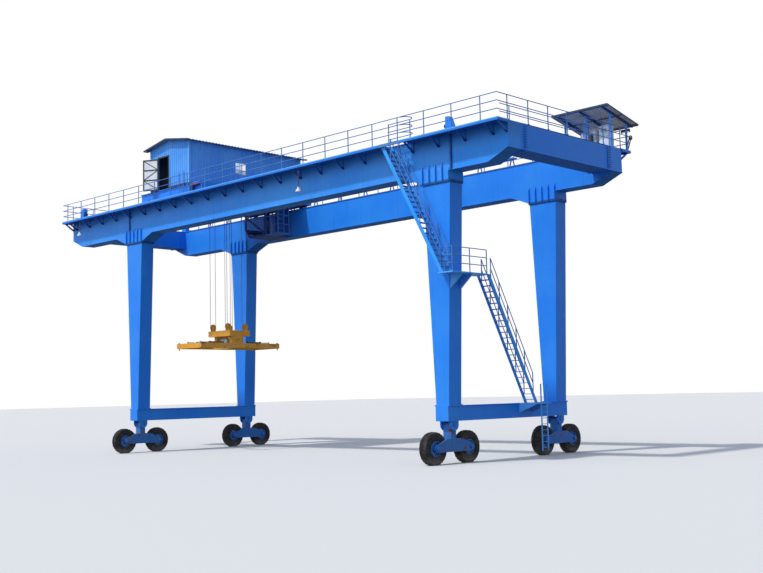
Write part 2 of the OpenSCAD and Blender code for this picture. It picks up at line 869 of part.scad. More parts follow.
// A rim with its hub and axle, along Z
module wheel_rim() {
    span = 2 * (cheek_in + cheek_t);
    cylinder(h = span + 60, d = axle_d, center = true);
    difference() {
        cylinder(h = tyre_w - 60, d = rim_d - 2 * seat, center = true);
        for (s = [-1, 1])
            translate([0, 0, s * (tyre_w / 2 - 20)])
                cylinder(h = 160, d = rim_d - 90, center = true);
    }
    cylinder(h = tyre_w + 20, d = axle_d * 1.8, center = true);
}

// The four tyres of one side
module tyres(x) {
    color("#2a2a2c") difference() {
        for (side = [-1, 1], s = [-1, 1])
            translate([x, side * half_gauge + s * wheel_gap / 2, axle_z])
                rotate([0, 90, 0]) tyre();
        block([x - tyre_w, -deck_half * 2, -tyre_d], [x + tyre_w, deck_half * 2, 0]);
    }
}

// One tyre about Z
module tyre() {
    r = tyre_d / 2;
    w = tyre_w / 2;
    rotate_extrude($fn = 72)
        polygon([[rim_d / 2, -w * 0.8], [rim_d / 2 + 60, -w],
                 [r - 150, -w], [r - 40, -w * 0.93], [r, -w * 0.76],
                 [r, w * 0.76], [r - 40, w * 0.93], [r - 150, w],
                 [rim_d / 2 + 60, w], [rim_d / 2, w * 0.8]]);
}

// One flight of stairs from its top at the origin, running down along +X
module flight(drop) {
    run = drop * stair_run;
    n = floor(drop / tread_rise);
    lean = stringer_h / sin(stair_angle);
    for (s = [-1, 1])
        translate([0, s * (stair_w - stringer_t) / 2, 0]) along_y(stringer_t)
            polygon([[0, 0], [lean, 0], [run + lean, -drop], [run, -drop]]);
    block([0, -stair_w / 2, -landing_t], [stringer_t, stair_w / 2, 0]);
    for (i = [1 : n])
        translate([i * tread_rise * stair_run + lean / 2 - tread_d / 2,
                   -stair_w / 2 + stringer_t / 2, -i * tread_rise])
            cube([tread_d, stair_w - stringer_t, tread_t]);
}

// The stair from the near walkway down to the landing
module upper_stair() {
    color("lightskyblue") translate([stair_top_x, stair_y, deck_z - walk_t])
        flight(deck_z - walk_t - landing_z);
}

// The stair from the landing down to the sill beam
module lower_stair() {
    color("lightskyblue") translate([lower_x, lower_top_y, landing_z])
        rotate([0, 0, 90]) flight(landing_z - low_landing_z);
}

// The landing beside the near right leg and the low landing on the sill beam
module stair_landings() {
    low_y1 = lower_foot_y + low_landing_l;
    color("lightskyblue") {
        block([leg_face_x(landing_z) + 5, landing_edge, landing_z - landing_t],
              [landing_x1, landing_in, landing_z]);
        block([landing_x0 - landing_lap, landing_edge, landing_z - landing_t],
              [landing_x1, -web_out - 20, landing_z]);
        block([leg_right + leg_foot_w / 2 + landing_lap, lower_foot_y,
               low_landing_z - landing_t],
              [landing_x1, low_y1, low_landing_z]);
        for (y = [-web_out + knee_t, -web_in - knee_t])
            translate([0, y, 0]) along_y(knee_t)
                polygon([[leg_face_x(landing_z), landing_z],
                         [leg_face_x(landing_z - landing_knee_h),
                          landing_z - landing_knee_h],
                         [landing_x1 - landing_lap, landing_z - landing_t],
                         [landing_x1 - landing_lap, landing_z]]);
        for (y = [lower_foot_y + landing_lap, low_y1 - landing_lap])
            translate([0, y, 0]) along_y(knee_t)
                polygon([[leg_right + sill_w / 2, low_landing_z - landing_t],
                         [leg_right + sill_w / 2, low_landing_z - low_knee_h],
                         [landing_x1 - landing_lap, low_landing_z - 1.5 * landing_t],
                         [landing_x1 - landing_lap, low_landing_z - landing_t]]);
        access_ladder(lower_foot_y + low_landing_l / 2);
    }
}

// The ladder from the ground to the low landing
module access_ladder(y) {
    for (s = [-1, 1])
        translate([landing_x1, y + s * access_w / 2, 0])
            block([0, -rung_d, access_z], [1.3 * rung_d, rung_d, low_landing_z + 900]);
    for (z = [access_z + rung_gap / 2 : rung_gap : low_landing_z])
        tube([landing_x1 + rung_d * 0.65, y - access_w / 2, z],
             [landing_x1 + rung_d * 0.65, y + access_w / 2, z], rung_d);
}

// Place of the near right leg's right face at a height
function leg_face_x(z) = leg_right + leg_top_w / 2
    - (leg_top_w - leg_foot_w) / 2
    * (leg_top_z - z) / (leg_top_z - sill_top - bolt_flange_t);

// Handrails along the two flights and round the landings
module stair_handrails() {
    side_y = landing_edge + rail_d;
    x0 = stair_foot_x + landing_lap + 5 * rail_d;
    x1 = landing_x1 - rail_d;
    color("steelblue") {
        translate([stair_top_x, stair_y, deck_z - walk_t])
            flight_rails(deck_z - walk_t - landing_z, 3);
        translate([lower_x, lower_top_y, landing_z]) rotate([0, 0, 90])
            flight_rails(landing_z - low_landing_z, 1);
        rail_cross(x1, side_y, landing_in - rail_d,
                   [side_y, -web_in - 300, landing_in - rail_d], landing_z);
        rail_run(x0, x1, side_y, [x0], landing_z);
    }
}

// The rails of one flight, on posts that stand on its treads
module flight_rails(drop, first) {
    n = floor(drop / tread_rise) - 1;
    out = stair_w / 2 - stringer_t - post_d / 2 - 1;
    nose = stringer_h / sin(stair_angle) / 2 + tread_d / 2 - post_d / 2 - 10;
    for (s = [-1, 1]) {
        for (i = [first : 4 : n])
            tube([i * tread_rise * stair_run + nose, s * out,
                  tread_t - i * tread_rise],
                 [i * tread_rise * stair_run + nose, s * out,
                  tread_t + rail_h * 0.9 - i * tread_rise], post_d);
        for (k = [0.45, 0.9])
            tube([first * tread_rise * stair_run + nose, s * out,
                  tread_t + rail_h * k - first * tread_rise],
                 [n * tread_rise * stair_run + nose, s * out,
                  tread_t + rail_h * k - n * tread_rise], rail_d);
    }
}

// The sheet roof over the cabinets at the far end of the short cantilever
module canopy_roof() {
    color("slategray") translate([x_right + canopy_over - canopy_l / 2, 0, 0])
        along_x(canopy_l)
            polygon([[canopy_y0, canopy_z(canopy_y0)], [canopy_y1, canopy_z(canopy_y1)],
                     [canopy_y1, canopy_z(canopy_y1) + canopy_t],
                     [canopy_y0, canopy_z(canopy_y0) + canopy_t]]);
}

// The posts and rafters of the canopy
module canopy_frame() {
    x0 = x_right + canopy_over - canopy_l + post_in;
    x1 = x_right + canopy_over - post_in;
    ya = web_in + canopy_post;
    yb = deck_half - rail_inset - rail_d - canopy_post / 2;
    ra = canopy_y0 + rafter_in;
    rb = canopy_y1 - rafter_in;
    color("deepskyblue") for (x = [x0, (x0 + x1) / 2, x1]) {
        for (y = [ya, yb])
            block([x - canopy_post / 2, y - canopy_post / 2, deck_z],
                  [x + canopy_post / 2, y + canopy_post / 2,
                   canopy_z(y) - rafter_h / 2]);
        translate([x, 0, 0]) along_x(canopy_post)
            polygon([[ra, canopy_z(ra) - rafter_h], [rb, canopy_z(rb) - rafter_h],
                     [rb, canopy_z(rb) - seat], [ra, canopy_z(ra) - seat]]);
    }
}

// The two cabinets under the canopy
module electric_cabinets() {
    tall_x = x_right - cabinet_at - tall_l;
    low_x = tall_x - cabinet_gap - cabinet_l;
    y0 = web_in + 3 * canopy_post;
    color("gainsboro") {
        block([low_x, y0, deck_z], [low_x + cabinet_l, y0 + cabinet_d, deck_z + cabinet_h]);
        block([tall_x, y0, deck_z], [tall_x + tall_l, y0 + cabinet_d, deck_z + tall_h]);
    }
}

// The bracket with its guide sheave that stands out from the far corner
module cable_guide() {
    y = deck_half;
    color("dimgray") translate([x_right - guide_at, 0, deck_z]) {
        along_x(guide_w)
            polygon([[y, -edge_h], [y, 0], [y + guide_out, guide_up],
                     [y + guide_out + guide_w, guide_up - guide_w],
                     [y + guide_w, -edge_h]]);
        translate([0, y + guide_out + guide_w / 2, guide_up - guide_w / 2])
            rotate([0, 90, 0]) cylinder(h = 2 * guide_w, d = guide_d, center = true);
    }
}

// The bell floodlights that hang from the near walkway
module floodlights() {
    floodlight(x_right - lamp_short, lamp_drop);
    floodlight(x_left + lamp_long, lamp_drop_long);
}

// One floodlight with its rod
module floodlight(x, drop) {
    r = lamp_d / 2;
    translate([x, -deck_half + 2 * edge_flange / 1.4, deck_z - edge_h]) {
        color("steelblue")
            tube([0, 0, lamp_h / 2 - drop], [0, 0, edge_h - walk_t], lamp_rod_d);
        color("white") translate([0, 0, -drop])
            rotate_extrude()
                polygon([[0, lamp_h * 0.3], [r * 0.92, 0], [r, 0], [r * 0.85, lamp_h * 0.4],
                         [r * 0.4, lamp_h * 0.8], [r * 0.3, lamp_h], [0, lamp_h]]);
    }
}

// The trough for the trolley's cable, on a row of stands along the far walkway
module cable_trough() {
    first = x_right - stand_start;
    last = first - (stand_n - 1) * stand_gap;
    high = trough_top - trough_h - deck_z;
    color("steelblue") translate([0, trough_y, deck_z]) {
        for (i = [0 : stand_n - 1])
            translate([first - i * stand_gap, 0, 0]) along_y(stand_bar) difference() {
                polygon([[-stand_foot / 2, 0], [stand_foot / 2, 0],
                         [stand_head / 2, high], [-stand_head / 2, high]]);
                polygon([[stand_bar - stand_foot / 2, -1], [stand_foot / 2 - stand_bar, -1],
                         [stand_head / 2 - stand_bar, high - stand_bar],
                         [stand_bar - stand_head / 2, high - stand_bar]]);
            }
        translate([(first + last) / 2, 0, high])
            along_x(first - last + stand_foot) difference() {
                translate([-trough_w / 2, 0]) square([trough_w, trough_h]);
                translate([trough_t - trough_w / 2, trough_t])
                    square([trough_w - 2 * trough_t, trough_h]);
            }
    }
}

// The trolley's side beams, cross beams and floor, and the arm that tows its cable
module trolley_frame() {
    x0 = trolley_x - trolley_l / 2;
    x1 = trolley_x + trolley_l / 2;
    top = floor_z - floor_t;
    inner = half_gauge - carriage_w / 2;
    arm_w = trough_w;
    color("dodgerblue") {
        for (side = [-1, 1])
            difference() {
                translate([0, side * half_gauge, 0])
                    block([x0, -carriage_w / 2, beam_z], [x1, carriage_w / 2, top]);
                for (s = [-1, 1])
                    translate([trolley_x + s * roller_gap / 2, side * half_gauge,
                               roller_z])
                        rotate([90, 0, 0]) wheel_pocket();
            }
        for (x = [x0, house_left, trolley_x - beam_w / 2, house_right - beam_w,
                  x1 - beam_w])
            block([x, -inner, beam_z], [x + beam_w, inner, top]);
        block([x0, -house_y, top], [x1, house_y, floor_z]);
        block([trolley_x - arm_w / 2, 0, top],
              [trolley_x + arm_w / 2, trough_y + trough_w / 2, floor_z]);
        for (sx = [-1, 1], sy = [-1, 1], f = [-1, 1])
            translate([trolley_x + sx * fall_x / 2,
                       sy * fall_y / 2 + f * sheave_d / 2, top - 2 * sheave_w])
                cylinder(h = 2 * sheave_w, d = 2 * sheave_w);
    }
}

// The space that one trolley wheel takes in its side beam
module wheel_pocket() {
    cylinder(h = track_head + 60, d = roller_d + 120, center = true);
    cylinder(h = carriage_w + 2, d = roller_axle_d + 1, center = true);
}

// The travel drives on the outside of the trolley's side beams
module trolley_drives() {
    x = trolley_x + roller_gap / 2;
    y = half_gauge + carriage_w / 2;
    high = floor_z - floor_t - 15;
    case = 1.3 * roller_axle_d;
    color("firebrick") for (side = [-1, 1]) mirror([0, side < 0 ? 1 : 0, 0]) {
        difference() {
            block([x - case, y, roller_z - case], [x + case, y + drive_w, high]);
            translate([x, y - 1, roller_z]) rotate([-90, 0, 0])
                cylinder(h = 31, d = roller_axle_d + 2);
        }
        translate([x, y + drive_w / 2, high - motor_d / 2 - 5]) rotate([0, 90, 0])
            cylinder(h = case + motor_l, d = motor_d);
    }
}

// The ladder with two grab posts on the near edge of the trolley's floor
module trolley_ladder() {
    y = -house_y - 1.5 * stile_d;
    low = deck_z + 2 * stile_d;
    color("steelblue") translate([trolley_x + ladder_at, 0, 0]) {
        for (s = [-1, 1]) {
            tube([s * ladder_w / 2, y, low], [s * ladder_w / 2, y, floor_z + ladder_up],
                 stile_d);
            translate([s * ladder_w / 2, 0, 0])
                block([-stile_d / 2, y, floor_z - floor_t],
                      [stile_d / 2, -house_y, floor_z]);
        }
        for (z = [low + 2 * stile_d : rung_gap : floor_z])
            tube([-ladder_w / 2, y, z], [ladder_w / 2, y, z], rung_d);
    }
}

// The four flanged wheels of the trolley with their axles
module trolley_wheels() {
    color("dimgray") for (side = [-1, 1], s = [-1, 1])
        translate([trolley_x + s * roller_gap / 2, side * half_gauge, roller_z])
            rotate([90, 0, 0]) {
                cylinder(h = track_head + 14, d = roller_d, center = true);
                for (f = [-1, 1])
                    translate([0, 0, f * (track_head / 2 + 16)])
                        cylinder(h = 18, d = roller_d + 50, center = true);
                cylinder(h = carriage_w + 40, d = roller_axle_d, center = true);
            }
}

// Outline of a gable wall as (x, z)
module gable_shape() {
    polygon([[house_left, floor_z], [house_right, floor_z], [house_right, eave_z],
             [trolley_x, ridge_z], [house_left, eave_z]]);
}

// The front gable with its doorway
module house_front_wall() {
    x0 = house_left + door_at;
    color("dodgerblue") translate([0, -house_y + wall_t / 2, 0]) along_y(wall_t)
        difference() {
            gable_shape();
            translate([x0, floor_z]) square([door_w, door_h]);
        }
}

// The back gable
module house_back_wall() {
    color("dodgerblue") translate([0, house_y - wall_t / 2, 0]) along_y(wall_t)
        gable_shape();
}

// The left long wall
module house_left_wall() {
    color("royalblue")
        block([house_left, -house_y + wall_t, floor_z],
              [house_left + wall_t, house_y - wall_t, eave_z]);
}

// The right long wall with its window opening
module house_right_wall() {
    y0 = -house_y + window_at;
    color("royalblue") difference() {
        block([house_right - wall_t, -house_y + wall_t, floor_z],
              [house_right, house_y - wall_t, eave_z]);
        block([house_right - wall_t - 1, y0, floor_z + window_up],
              [house_right + 1, y0 + window_w, floor_z + window_up + window_h]);
    }
}

// The roof of two shallow slopes
module house_roof() {
    slope = ridge_rise / (house_w / 2);
    low = eave_z - roof_over * slope;
    color("slategray") along_y(house_l + 2 * roof_over)
        polygon([[house_left - roof_over, low], [trolley_x, ridge_z],
                 [house_right + roof_over, low],
                 [house_right + roof_over, low + roof_t],
                 [trolley_x, ridge_z + roof_t],
                 [house_left - roof_over, low + roof_t]]);
}

// The door leaf, hung at the left of the doorway and standing open
module house_door() {
    hinge = [house_left + door_at, -house_y - seat, floor_z + 20];
    color("gray") translate(hinge) rotate([0, 0, -leaf_open])
        block([0, 0, 0], [door_w - 30, leaf_t, door_h - 40]);
}

// The window in the right wall, with its open sash
module house_window() {
    y0 = -house_y + window_at + seat;
    z0 = floor_z + window_up + seat;
    color("white") difference() {
        block([house_right - wall_t + 5, y0, z0],
              [house_right - 5, y0 + window_w - 2 * seat, z0 + window_h - 2 * seat]);
        block([house_right - wall_t, y0 + 50, z0 + 50],
              [house_right, y0 + window_w - 50, z0 + window_h - 50]);
    }
    color("white")
        block([house_right - wall_t / 2 - 4, y0 + 50, z0 + 50],
              [house_right - wall_t / 2 + 4, y0 + window_w - 50, z0 + window_h - 50]);
}

// Outline of the cab seen from the side, set in by a thickness
module cab_outline(t) {
    polygon([[cab_left + t, cab_z + rake_h + 0.4 * t], [cab_left + t, cab_top - t],
             [cab_right - t, cab_top - t], [cab_right - t, cab_z + t],
             [cab_left + rake_l + 0.5 * t, cab_z + t]]);
}

// A point on the sloping front, at a share of its length and a depth below its face
function rake_point(share, depth) =
    [cab_left + share * rake_l + depth * rake_h / norm([rake_l, rake_h]),
     cab_z + (1 - share) * rake_h + depth * rake_l / norm([rake_l, rake_h])];

// A layer of the sloping front between two depths, clear of its corners
module rake_layer(near, far, in) {
    polygon([rake_point(in, near), rake_point(1 - in, near),
             rake_point(1 - in, far), rake_point(in, far)]);
}

// The cab's shell, glazed on three sides, with a door at its right end
module cab_shell() {
    front_z = cab_z + rake_h + pane_in / 2;
    door_y = platform_w - cab_w / 2 - pane_in;
    leaf_up = 10;
    color("royalblue") translate([0, cab_mid_y, 0]) difference() {
        along_y(cab_w) cab_outline(0);
        along_y(cab_w - 2 * cab_t) cab_outline(cab_t);
        along_y(cab_w + 2) side_opening(0);
        block([cab_left - 1, pane_in - cab_w / 2, front_z],
              [cab_left + cab_t + 1, cab_w / 2 - pane_in, cab_top - pane_in]);
        along_y(cab_w - 2 * pane_in) rake_layer(-1, cab_t + 1, 0.16);
        block([cab_right - cab_t - 1, door_y - cab_door_w, cab_z + cab_t],
              [cab_right + 1, door_y, cab_top - pane_in]);
    }
    color("royalblue") translate([0, cab_mid_y - cab_w / 2, 0]) cab_brace();
    color("royalblue")
        block([cab_right - seat, cab_mid_y + door_y, cab_z + platform_t + leaf_up],
              [cab_right + cab_leaf_t, cab_mid_y + door_y + cab_door_w,
               cab_top - pane_in + leaf_up]);
}

// The slanting brace in the cab's near side, outside its pane
module cab_brace() {
    x0 = cab_left + pane_in - 1;
    x1 = cab_right - pane_in + 1;
    z0 = cab_z + pane_in - 1;
    z1 = cab_top - brace_down;
    translate([0, (cab_t - pane_t) / 4 - seat / 2, 0]) along_y((cab_t - pane_t) / 2 - seat)
        polygon([[x0, z1], [x0, z1 + brace_w], [x0 + brace_w, z1 + brace_w],
                 [x1, z0 + brace_w], [x1, z0], [x1 - brace_w, z0]]);
}

// Outline of the opening in the cab's sides, made smaller by a gap all round
module side_opening(gap) {
    polygon([[cab_left + pane_in + gap, cab_z + rake_h + 0.4 * pane_in + gap],
             [cab_left + pane_in + gap, cab_top - pane_in - gap],
             [cab_right - pane_in - gap, cab_top - pane_in - gap],
             [cab_right - pane_in - gap, cab_z + pane_in + gap],
             [cab_left + rake_l + 0.5 * pane_in + gap, cab_z + pane_in + gap]]);
}

// The cab's panes: two in front, one on each side
module cab_glass() {
    front_z = cab_z + rake_h + pane_in / 2;
    y = cab_w / 2 - pane_in - seat;
    x = cab_left + (cab_t - pane_t) / 2;
    color("lightblue", 0.4) translate([0, cab_mid_y, 0]) {
        block([x, -y, front_z + seat], [x + pane_t, y, cab_top - pane_in - seat]);
        along_y(2 * y)
            rake_layer((cab_t - pane_t) / 2, (cab_t + pane_t) / 2,
                       0.16 + seat / norm([rake_l, rake_h]));
        for (s = [-1, 1])
            translate([0, s * (cab_w - cab_t) / 2, 0]) along_y(pane_t) side_opening(seat);
    }
}

// The four hangers that hold the cab under the trolley's cross beams
module cab_hanger() {
    color("steelblue")
        for (x = [trolley_x - hanger_w / 2, cab_right - hanger_w],
             y = [-cab_w / 2 + hanger_w, cab_w / 2 - 2 * hanger_w])
            block([x, cab_mid_y + y, cab_top],
                  [x + hanger_w, cab_mid_y + y + hanger_w, beam_z]);
}

// The platform at the cab's door, its railing, and the ladder that it hangs from
module cab_platform() {
    near = cab_mid_y - cab_w / 2;
    far = near + platform_w;
    x = trolley_x + trolley_l / 2 + stile_d / 2 + seat;
    y = near + stile_d;
    x_rail = platform_x - platform_rail;
    x_far = cab_right + 2 * cab_leaf_t;
    top = cab_z + platform_t;
    color("steelblue") {
        block([cab_right, near, cab_z], [platform_x, far, top]);
        for (side = [y, y + access_w, far - stile_d])
            tube([x, side, cab_z], [x, side, floor_z], stile_d);
        for (z = [top + rung_gap : rung_gap : floor_z])
            tube([x, y, z], [x, y + access_w, z], rung_d);
        tube([x_rail, y, cab_z], [x_rail, y, top + rail_h], stile_d);
        for (k = [0.5, 1])
            tube([cab_right + seat, y, top + k * rail_h], [x, y, top + k * rail_h],
                 rail_d);
        tube([x_far, far - stile_d, cab_z], [x_far, far - stile_d, top + rail_h], stile_d);
        for (k = [0.5, 1]) {
            tube([x, y + access_w, top + k * rail_h],
                 [x, far - stile_d, top + k * rail_h], rail_d);
            tube([x_far, far - stile_d, top + k * rail_h],
                 [x, far - stile_d, top + k * rail_h], rail_d);
        }
    }
}

// The operator's seat
module cab_seat() {
    wide = 500;
    color("burlywood") translate([cab_left + 900, cab_mid_y, cab_z + cab_t]) {
        block([-60, -60, 0], [60, 60, 380]);
        block([-wide / 2, -wide / 2, 380], [wide / 2, wide / 2, 480]);
        block([170, -wide * 0.46, 480], [250, wide * 0.46, 1100]);
    }
}

// The hoist ropes, each down from the trolley, round a sheave and up again
module hoist_ropes() {
    top = floor_z - floor_t - 2 * sheave_w;
    color("#303030") for (sx = [-1, 1], sy = [-1, 1])
        translate([trolley_x + sx * fall_x / 2, sy * fall_y / 2, sheave_z]) {
            for (f = [-1, 1])
                translate([0, f * sheave_d / 2, 0])
                    cylinder(h = top - sheave_z, d = rope_d, $fn = 16);
            rotate([0, 90, 0]) rotate([0, 0, -90]) rotate_extrude(angle = 180)
                translate([sheave_d / 2, 0]) circle(d = rope_d, $fn = 16);
        }
}

// The headblock: two long beams, two cross beams and four grooved sheaves
module headblock() {
    long_l = fall_x + 2 * block_over;
    color("goldenrod") translate([trolley_x, 0, block_z]) {
        for (s = [-1, 1])
            translate([0, s * fall_y / 2, 0])
                block([-long_l / 2, -block_w / 2, 0], [long_l / 2, block_w / 2, block_h]);
        for (s = [-1, 1])
            translate([s * fall_x / 2, 0, 0])
                block([-block_w / 2, -fall_y / 2, 0], [block_w / 2, fall_y / 2, block_h]);
        for (sx = [-1, 1], sy = [-1, 1])
            translate([sx * fall_x / 2, sy * fall_y / 2, 0]) sheave_block();
    }
}

// One sheave between its two cheeks, on top of the headblock
module sheave_block() {
    groove = sheave_d / 2 - rope_d / 2 - seat;
    rim = sheave_d / 2 + rope_d / 2;
    high = sheave_z - block_z;
    translate([0, 0, high]) rotate([0, 90, 0]) {
        rotate_extrude()
            polygon([[0, -sheave_w / 2], [rim, -sheave_w / 2], [rim, -rope_d],
                     [groove, -rope_d * 0.6], [groove, rope_d * 0.6],
                     [rim, rope_d], [rim, sheave_w / 2], [0, sheave_w / 2]]);
        cylinder(h = 2.4 * sheave_w, d = sheave_d * 0.3, center = true);
    }
    for (s = [-1, 1])
        translate([s * sheave_w * 0.9, 0, 0]) along_x(sheave_w / 3)
            polygon([[-sheave_d * 0.4, block_h], [sheave_d * 0.4, block_h],
                     [sheave_d * 0.2, high + sheave_d * 0.25],
                     [-sheave_d * 0.2, high + sheave_d * 0.25]]);
}

// The spreader with a twistlock at each corner
module spreader() {
    color("gold") translate([trolley_x, 0, spreader_z]) {
        for (s = [-1, 1])
            translate([s * lock_w / 2, 0, 0])
                block([-long_beam_w / 2, -lock_l / 2 - end_arm_w / 2, 0],
                      [long_beam_w / 2, lock_l / 2 + end_arm_w / 2, arm_h]);
        for (s = [-1, 1])
            translate([0, s * lock_l / 2, 0])
                block([-lock_w / 2, -end_arm_w / 2, 0], [lock_w / 2, end_arm_w / 2, arm_h]);
        block([-lock_w / 2, -core_l / 2, 0], [lock_w / 2, core_l / 2, arm_h]);
        for (s = [-1, 1])
            block([s * fall_x / 2 - block_w / 2, -core_l / 2, arm_h],
                  [s * fall_x / 2 + block_w / 2, core_l / 2, block_up]);
        for (sx = [-1, 1], sy = [-1, 1])
            translate([sx * lock_w / 2, sy * lock_l / 2, -lock_h])
                cylinder(h = lock_h, d = lock_d);
    }
}

girder(-1);  // near_girder
girder(1);  // far_girder
end_beam(1);  // right_end_beam
end_beam(-1);  // left_end_beam
walkway(-1);  // near_walkway
walkway(1);  // far_walkway
side_handrail(-1);  // near_handrail
side_handrail(1);  // far_handrail
end_handrails();
trolley_rails();
rail_stops();
cable_ducts();
leg(leg_right, -1);  // near_right_leg
leg(leg_left, -1);  // near_left_leg
leg(leg_right, 1);  // far_right_leg
leg(leg_left, 1);  // far_left_leg
sill_beam(leg_right);  // right_sill_beam
sill_beam(leg_left);  // left_sill_beam
bogies(leg_right);  // right_bogies
bogies(leg_left);  // left_bogies
tyres(leg_right);  // right_tyres
tyres(leg_left);  // left_tyres
upper_stair();
lower_stair();
stair_landings();
stair_handrails();
stair_guard();
cable_trough();
canopy_roof();
canopy_frame();
electric_cabinets();
cable_guide();
floodlights();
trolley_frame();
trolley_wheels();
trolley_drives();
trolley_ladder();
house_front_wall();
house_back_wall();
house_left_wall();
house_right_wall();
house_roof();
house_door();
house_window();
cab_shell();
cab_glass();
cab_hanger();
cab_platform();
cab_seat();
hoist_ropes();
headblock();
spreader();
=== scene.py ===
import itertools
import math

import bmesh
import bpy
from mathutils import Matrix, Vector


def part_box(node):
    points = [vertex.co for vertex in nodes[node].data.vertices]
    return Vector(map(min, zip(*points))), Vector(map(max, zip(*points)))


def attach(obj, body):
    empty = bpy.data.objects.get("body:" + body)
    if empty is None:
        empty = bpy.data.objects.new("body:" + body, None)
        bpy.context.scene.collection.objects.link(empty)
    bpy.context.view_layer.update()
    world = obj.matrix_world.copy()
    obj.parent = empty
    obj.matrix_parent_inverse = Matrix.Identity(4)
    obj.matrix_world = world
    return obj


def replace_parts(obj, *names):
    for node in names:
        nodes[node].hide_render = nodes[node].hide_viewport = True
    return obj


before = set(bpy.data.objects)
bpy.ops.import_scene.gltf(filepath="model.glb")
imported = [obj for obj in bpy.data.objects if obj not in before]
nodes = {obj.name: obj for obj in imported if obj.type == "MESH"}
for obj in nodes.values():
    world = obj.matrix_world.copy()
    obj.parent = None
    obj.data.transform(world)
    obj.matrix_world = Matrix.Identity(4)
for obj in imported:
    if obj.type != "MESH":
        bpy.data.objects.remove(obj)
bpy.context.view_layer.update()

SIDES = (-1, 1)

# Places in the crane, in metres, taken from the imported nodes
walkway_lo, walkway_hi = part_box("near_walkway")
left_end, right_end, deck = walkway_lo.x, walkway_hi.x, walkway_hi.z
deck_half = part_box("far_walkway")[1].y
girder_lo, girder_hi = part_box("far_girder")
leg_lo, leg_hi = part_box("near_right_leg")
leg_top = leg_hi.z
leg_xs = [sum(corner.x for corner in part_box(name)) / 2 for name in ("near_left_leg", "near_right_leg")]
flange_lip = 0.045
web_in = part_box("far_right_leg")[0].y + flange_lip
web_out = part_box("far_right_leg")[1].y - flange_lip
half_gauge = (web_in + web_out) / 2
gear_half = (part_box("right_bogies")[1].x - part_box("right_bogies")[0].x) / 2
trolley_lo, trolley_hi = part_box("trolley_frame")
trolley_x = (trolley_lo.x + trolley_hi.x) / 2
floor_z = trolley_hi.z
house_lo, house_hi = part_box("house_front_wall")
house_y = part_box("house_back_wall")[1].y
door_left, door_right, door_head = house_lo.x + 0.82, house_lo.x + 1.87, floor_z + 1.96
window_lo, window_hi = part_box("house_window")
roof_lo, roof_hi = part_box("house_roof")
roof_t = 0.06
roof_slope = (roof_hi.z - roof_t - roof_lo.z) / (roof_hi.x - trolley_x)
cab_lo, cab_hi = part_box("cab_shell")
cab_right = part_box("cab_platform")[0].x


# Shader nodes


class Value:
    """A node's output. Sums with it add Math nodes, so that a look reads as a formula."""

    def __init__(self, wiring, socket):
        self.wiring = wiring
        self.socket = socket

    def math(self, operation, *numbers):
        return self.wiring.add("ShaderNodeMath", {"operation": operation}, dict(enumerate(numbers)))

    def __add__(self, other):
        return self.math("ADD", self, other)

    def __sub__(self, other):
        return self.math("SUBTRACT", self, other)

    def __rsub__(self, other):
        return self.math("SUBTRACT", other, self)

    def __mul__(self, other):
        return self.math("MULTIPLY", self, other)

    __radd__ = __add__
    __rmul__ = __mul__

    def __neg__(self):
        return self * -1.0

    def __abs__(self):
        return self.math("ABSOLUTE", self)

    def ramp(self, low, high):
        """0 below low, 1 above high, smooth between. It falls where high is the smaller one."""
        return self.wiring.add("ShaderNodeMapRange", {"interpolation_type": "SMOOTHSTEP"},
                               {"Value": self, "From Min": low, "From Max": high})


class Wiring:
    """A node tree whose nodes all come from one method."""

    def __init__(self, tree):
        self.tree = tree

    def plug(self, value, target):
        if isinstance(value, Value):
            self.tree.links.new(value.socket, target)
        elif target.type == "RGBA":
            target.default_value = (*value, 1.0)
        else:
            target.default_value = value

    def add(self, kind, settings=None, sockets=None, out=0):
        """A node of one type with its settings, then the values or links of its sockets. Gives one output."""
        node = self.tree.nodes.new(kind)
        for name, setting in (settings or {}).items():
            setattr(node, name, setting)
        for key, value in (sockets or {}).items():
            self.plug(value, node.inputs[key])
        return Value(self, node.outputs[out])

    def mix(self, share, first, second):
        """The first colour where share is 0, the second where it is 1."""
        return self.add("ShaderNodeMix", {"data_type": "RGBA"}, {"Factor": share, "A": first, "B": second},
                        out="Result")

    def seen_directly(self):
        """1 for rays that look at the background, through glass and in reflections too."""
        camera, glossy, through = (self.add("ShaderNodeLightPath", out=name) for name in
                                   ("Is Camera Ray", "Is Glossy Ray", "Is Transmission Ray"))
        return camera.math("MAXIMUM", camera.math("MAXIMUM", camera, glossy), through)


MATT, POLISHED = 0.18, 0.5


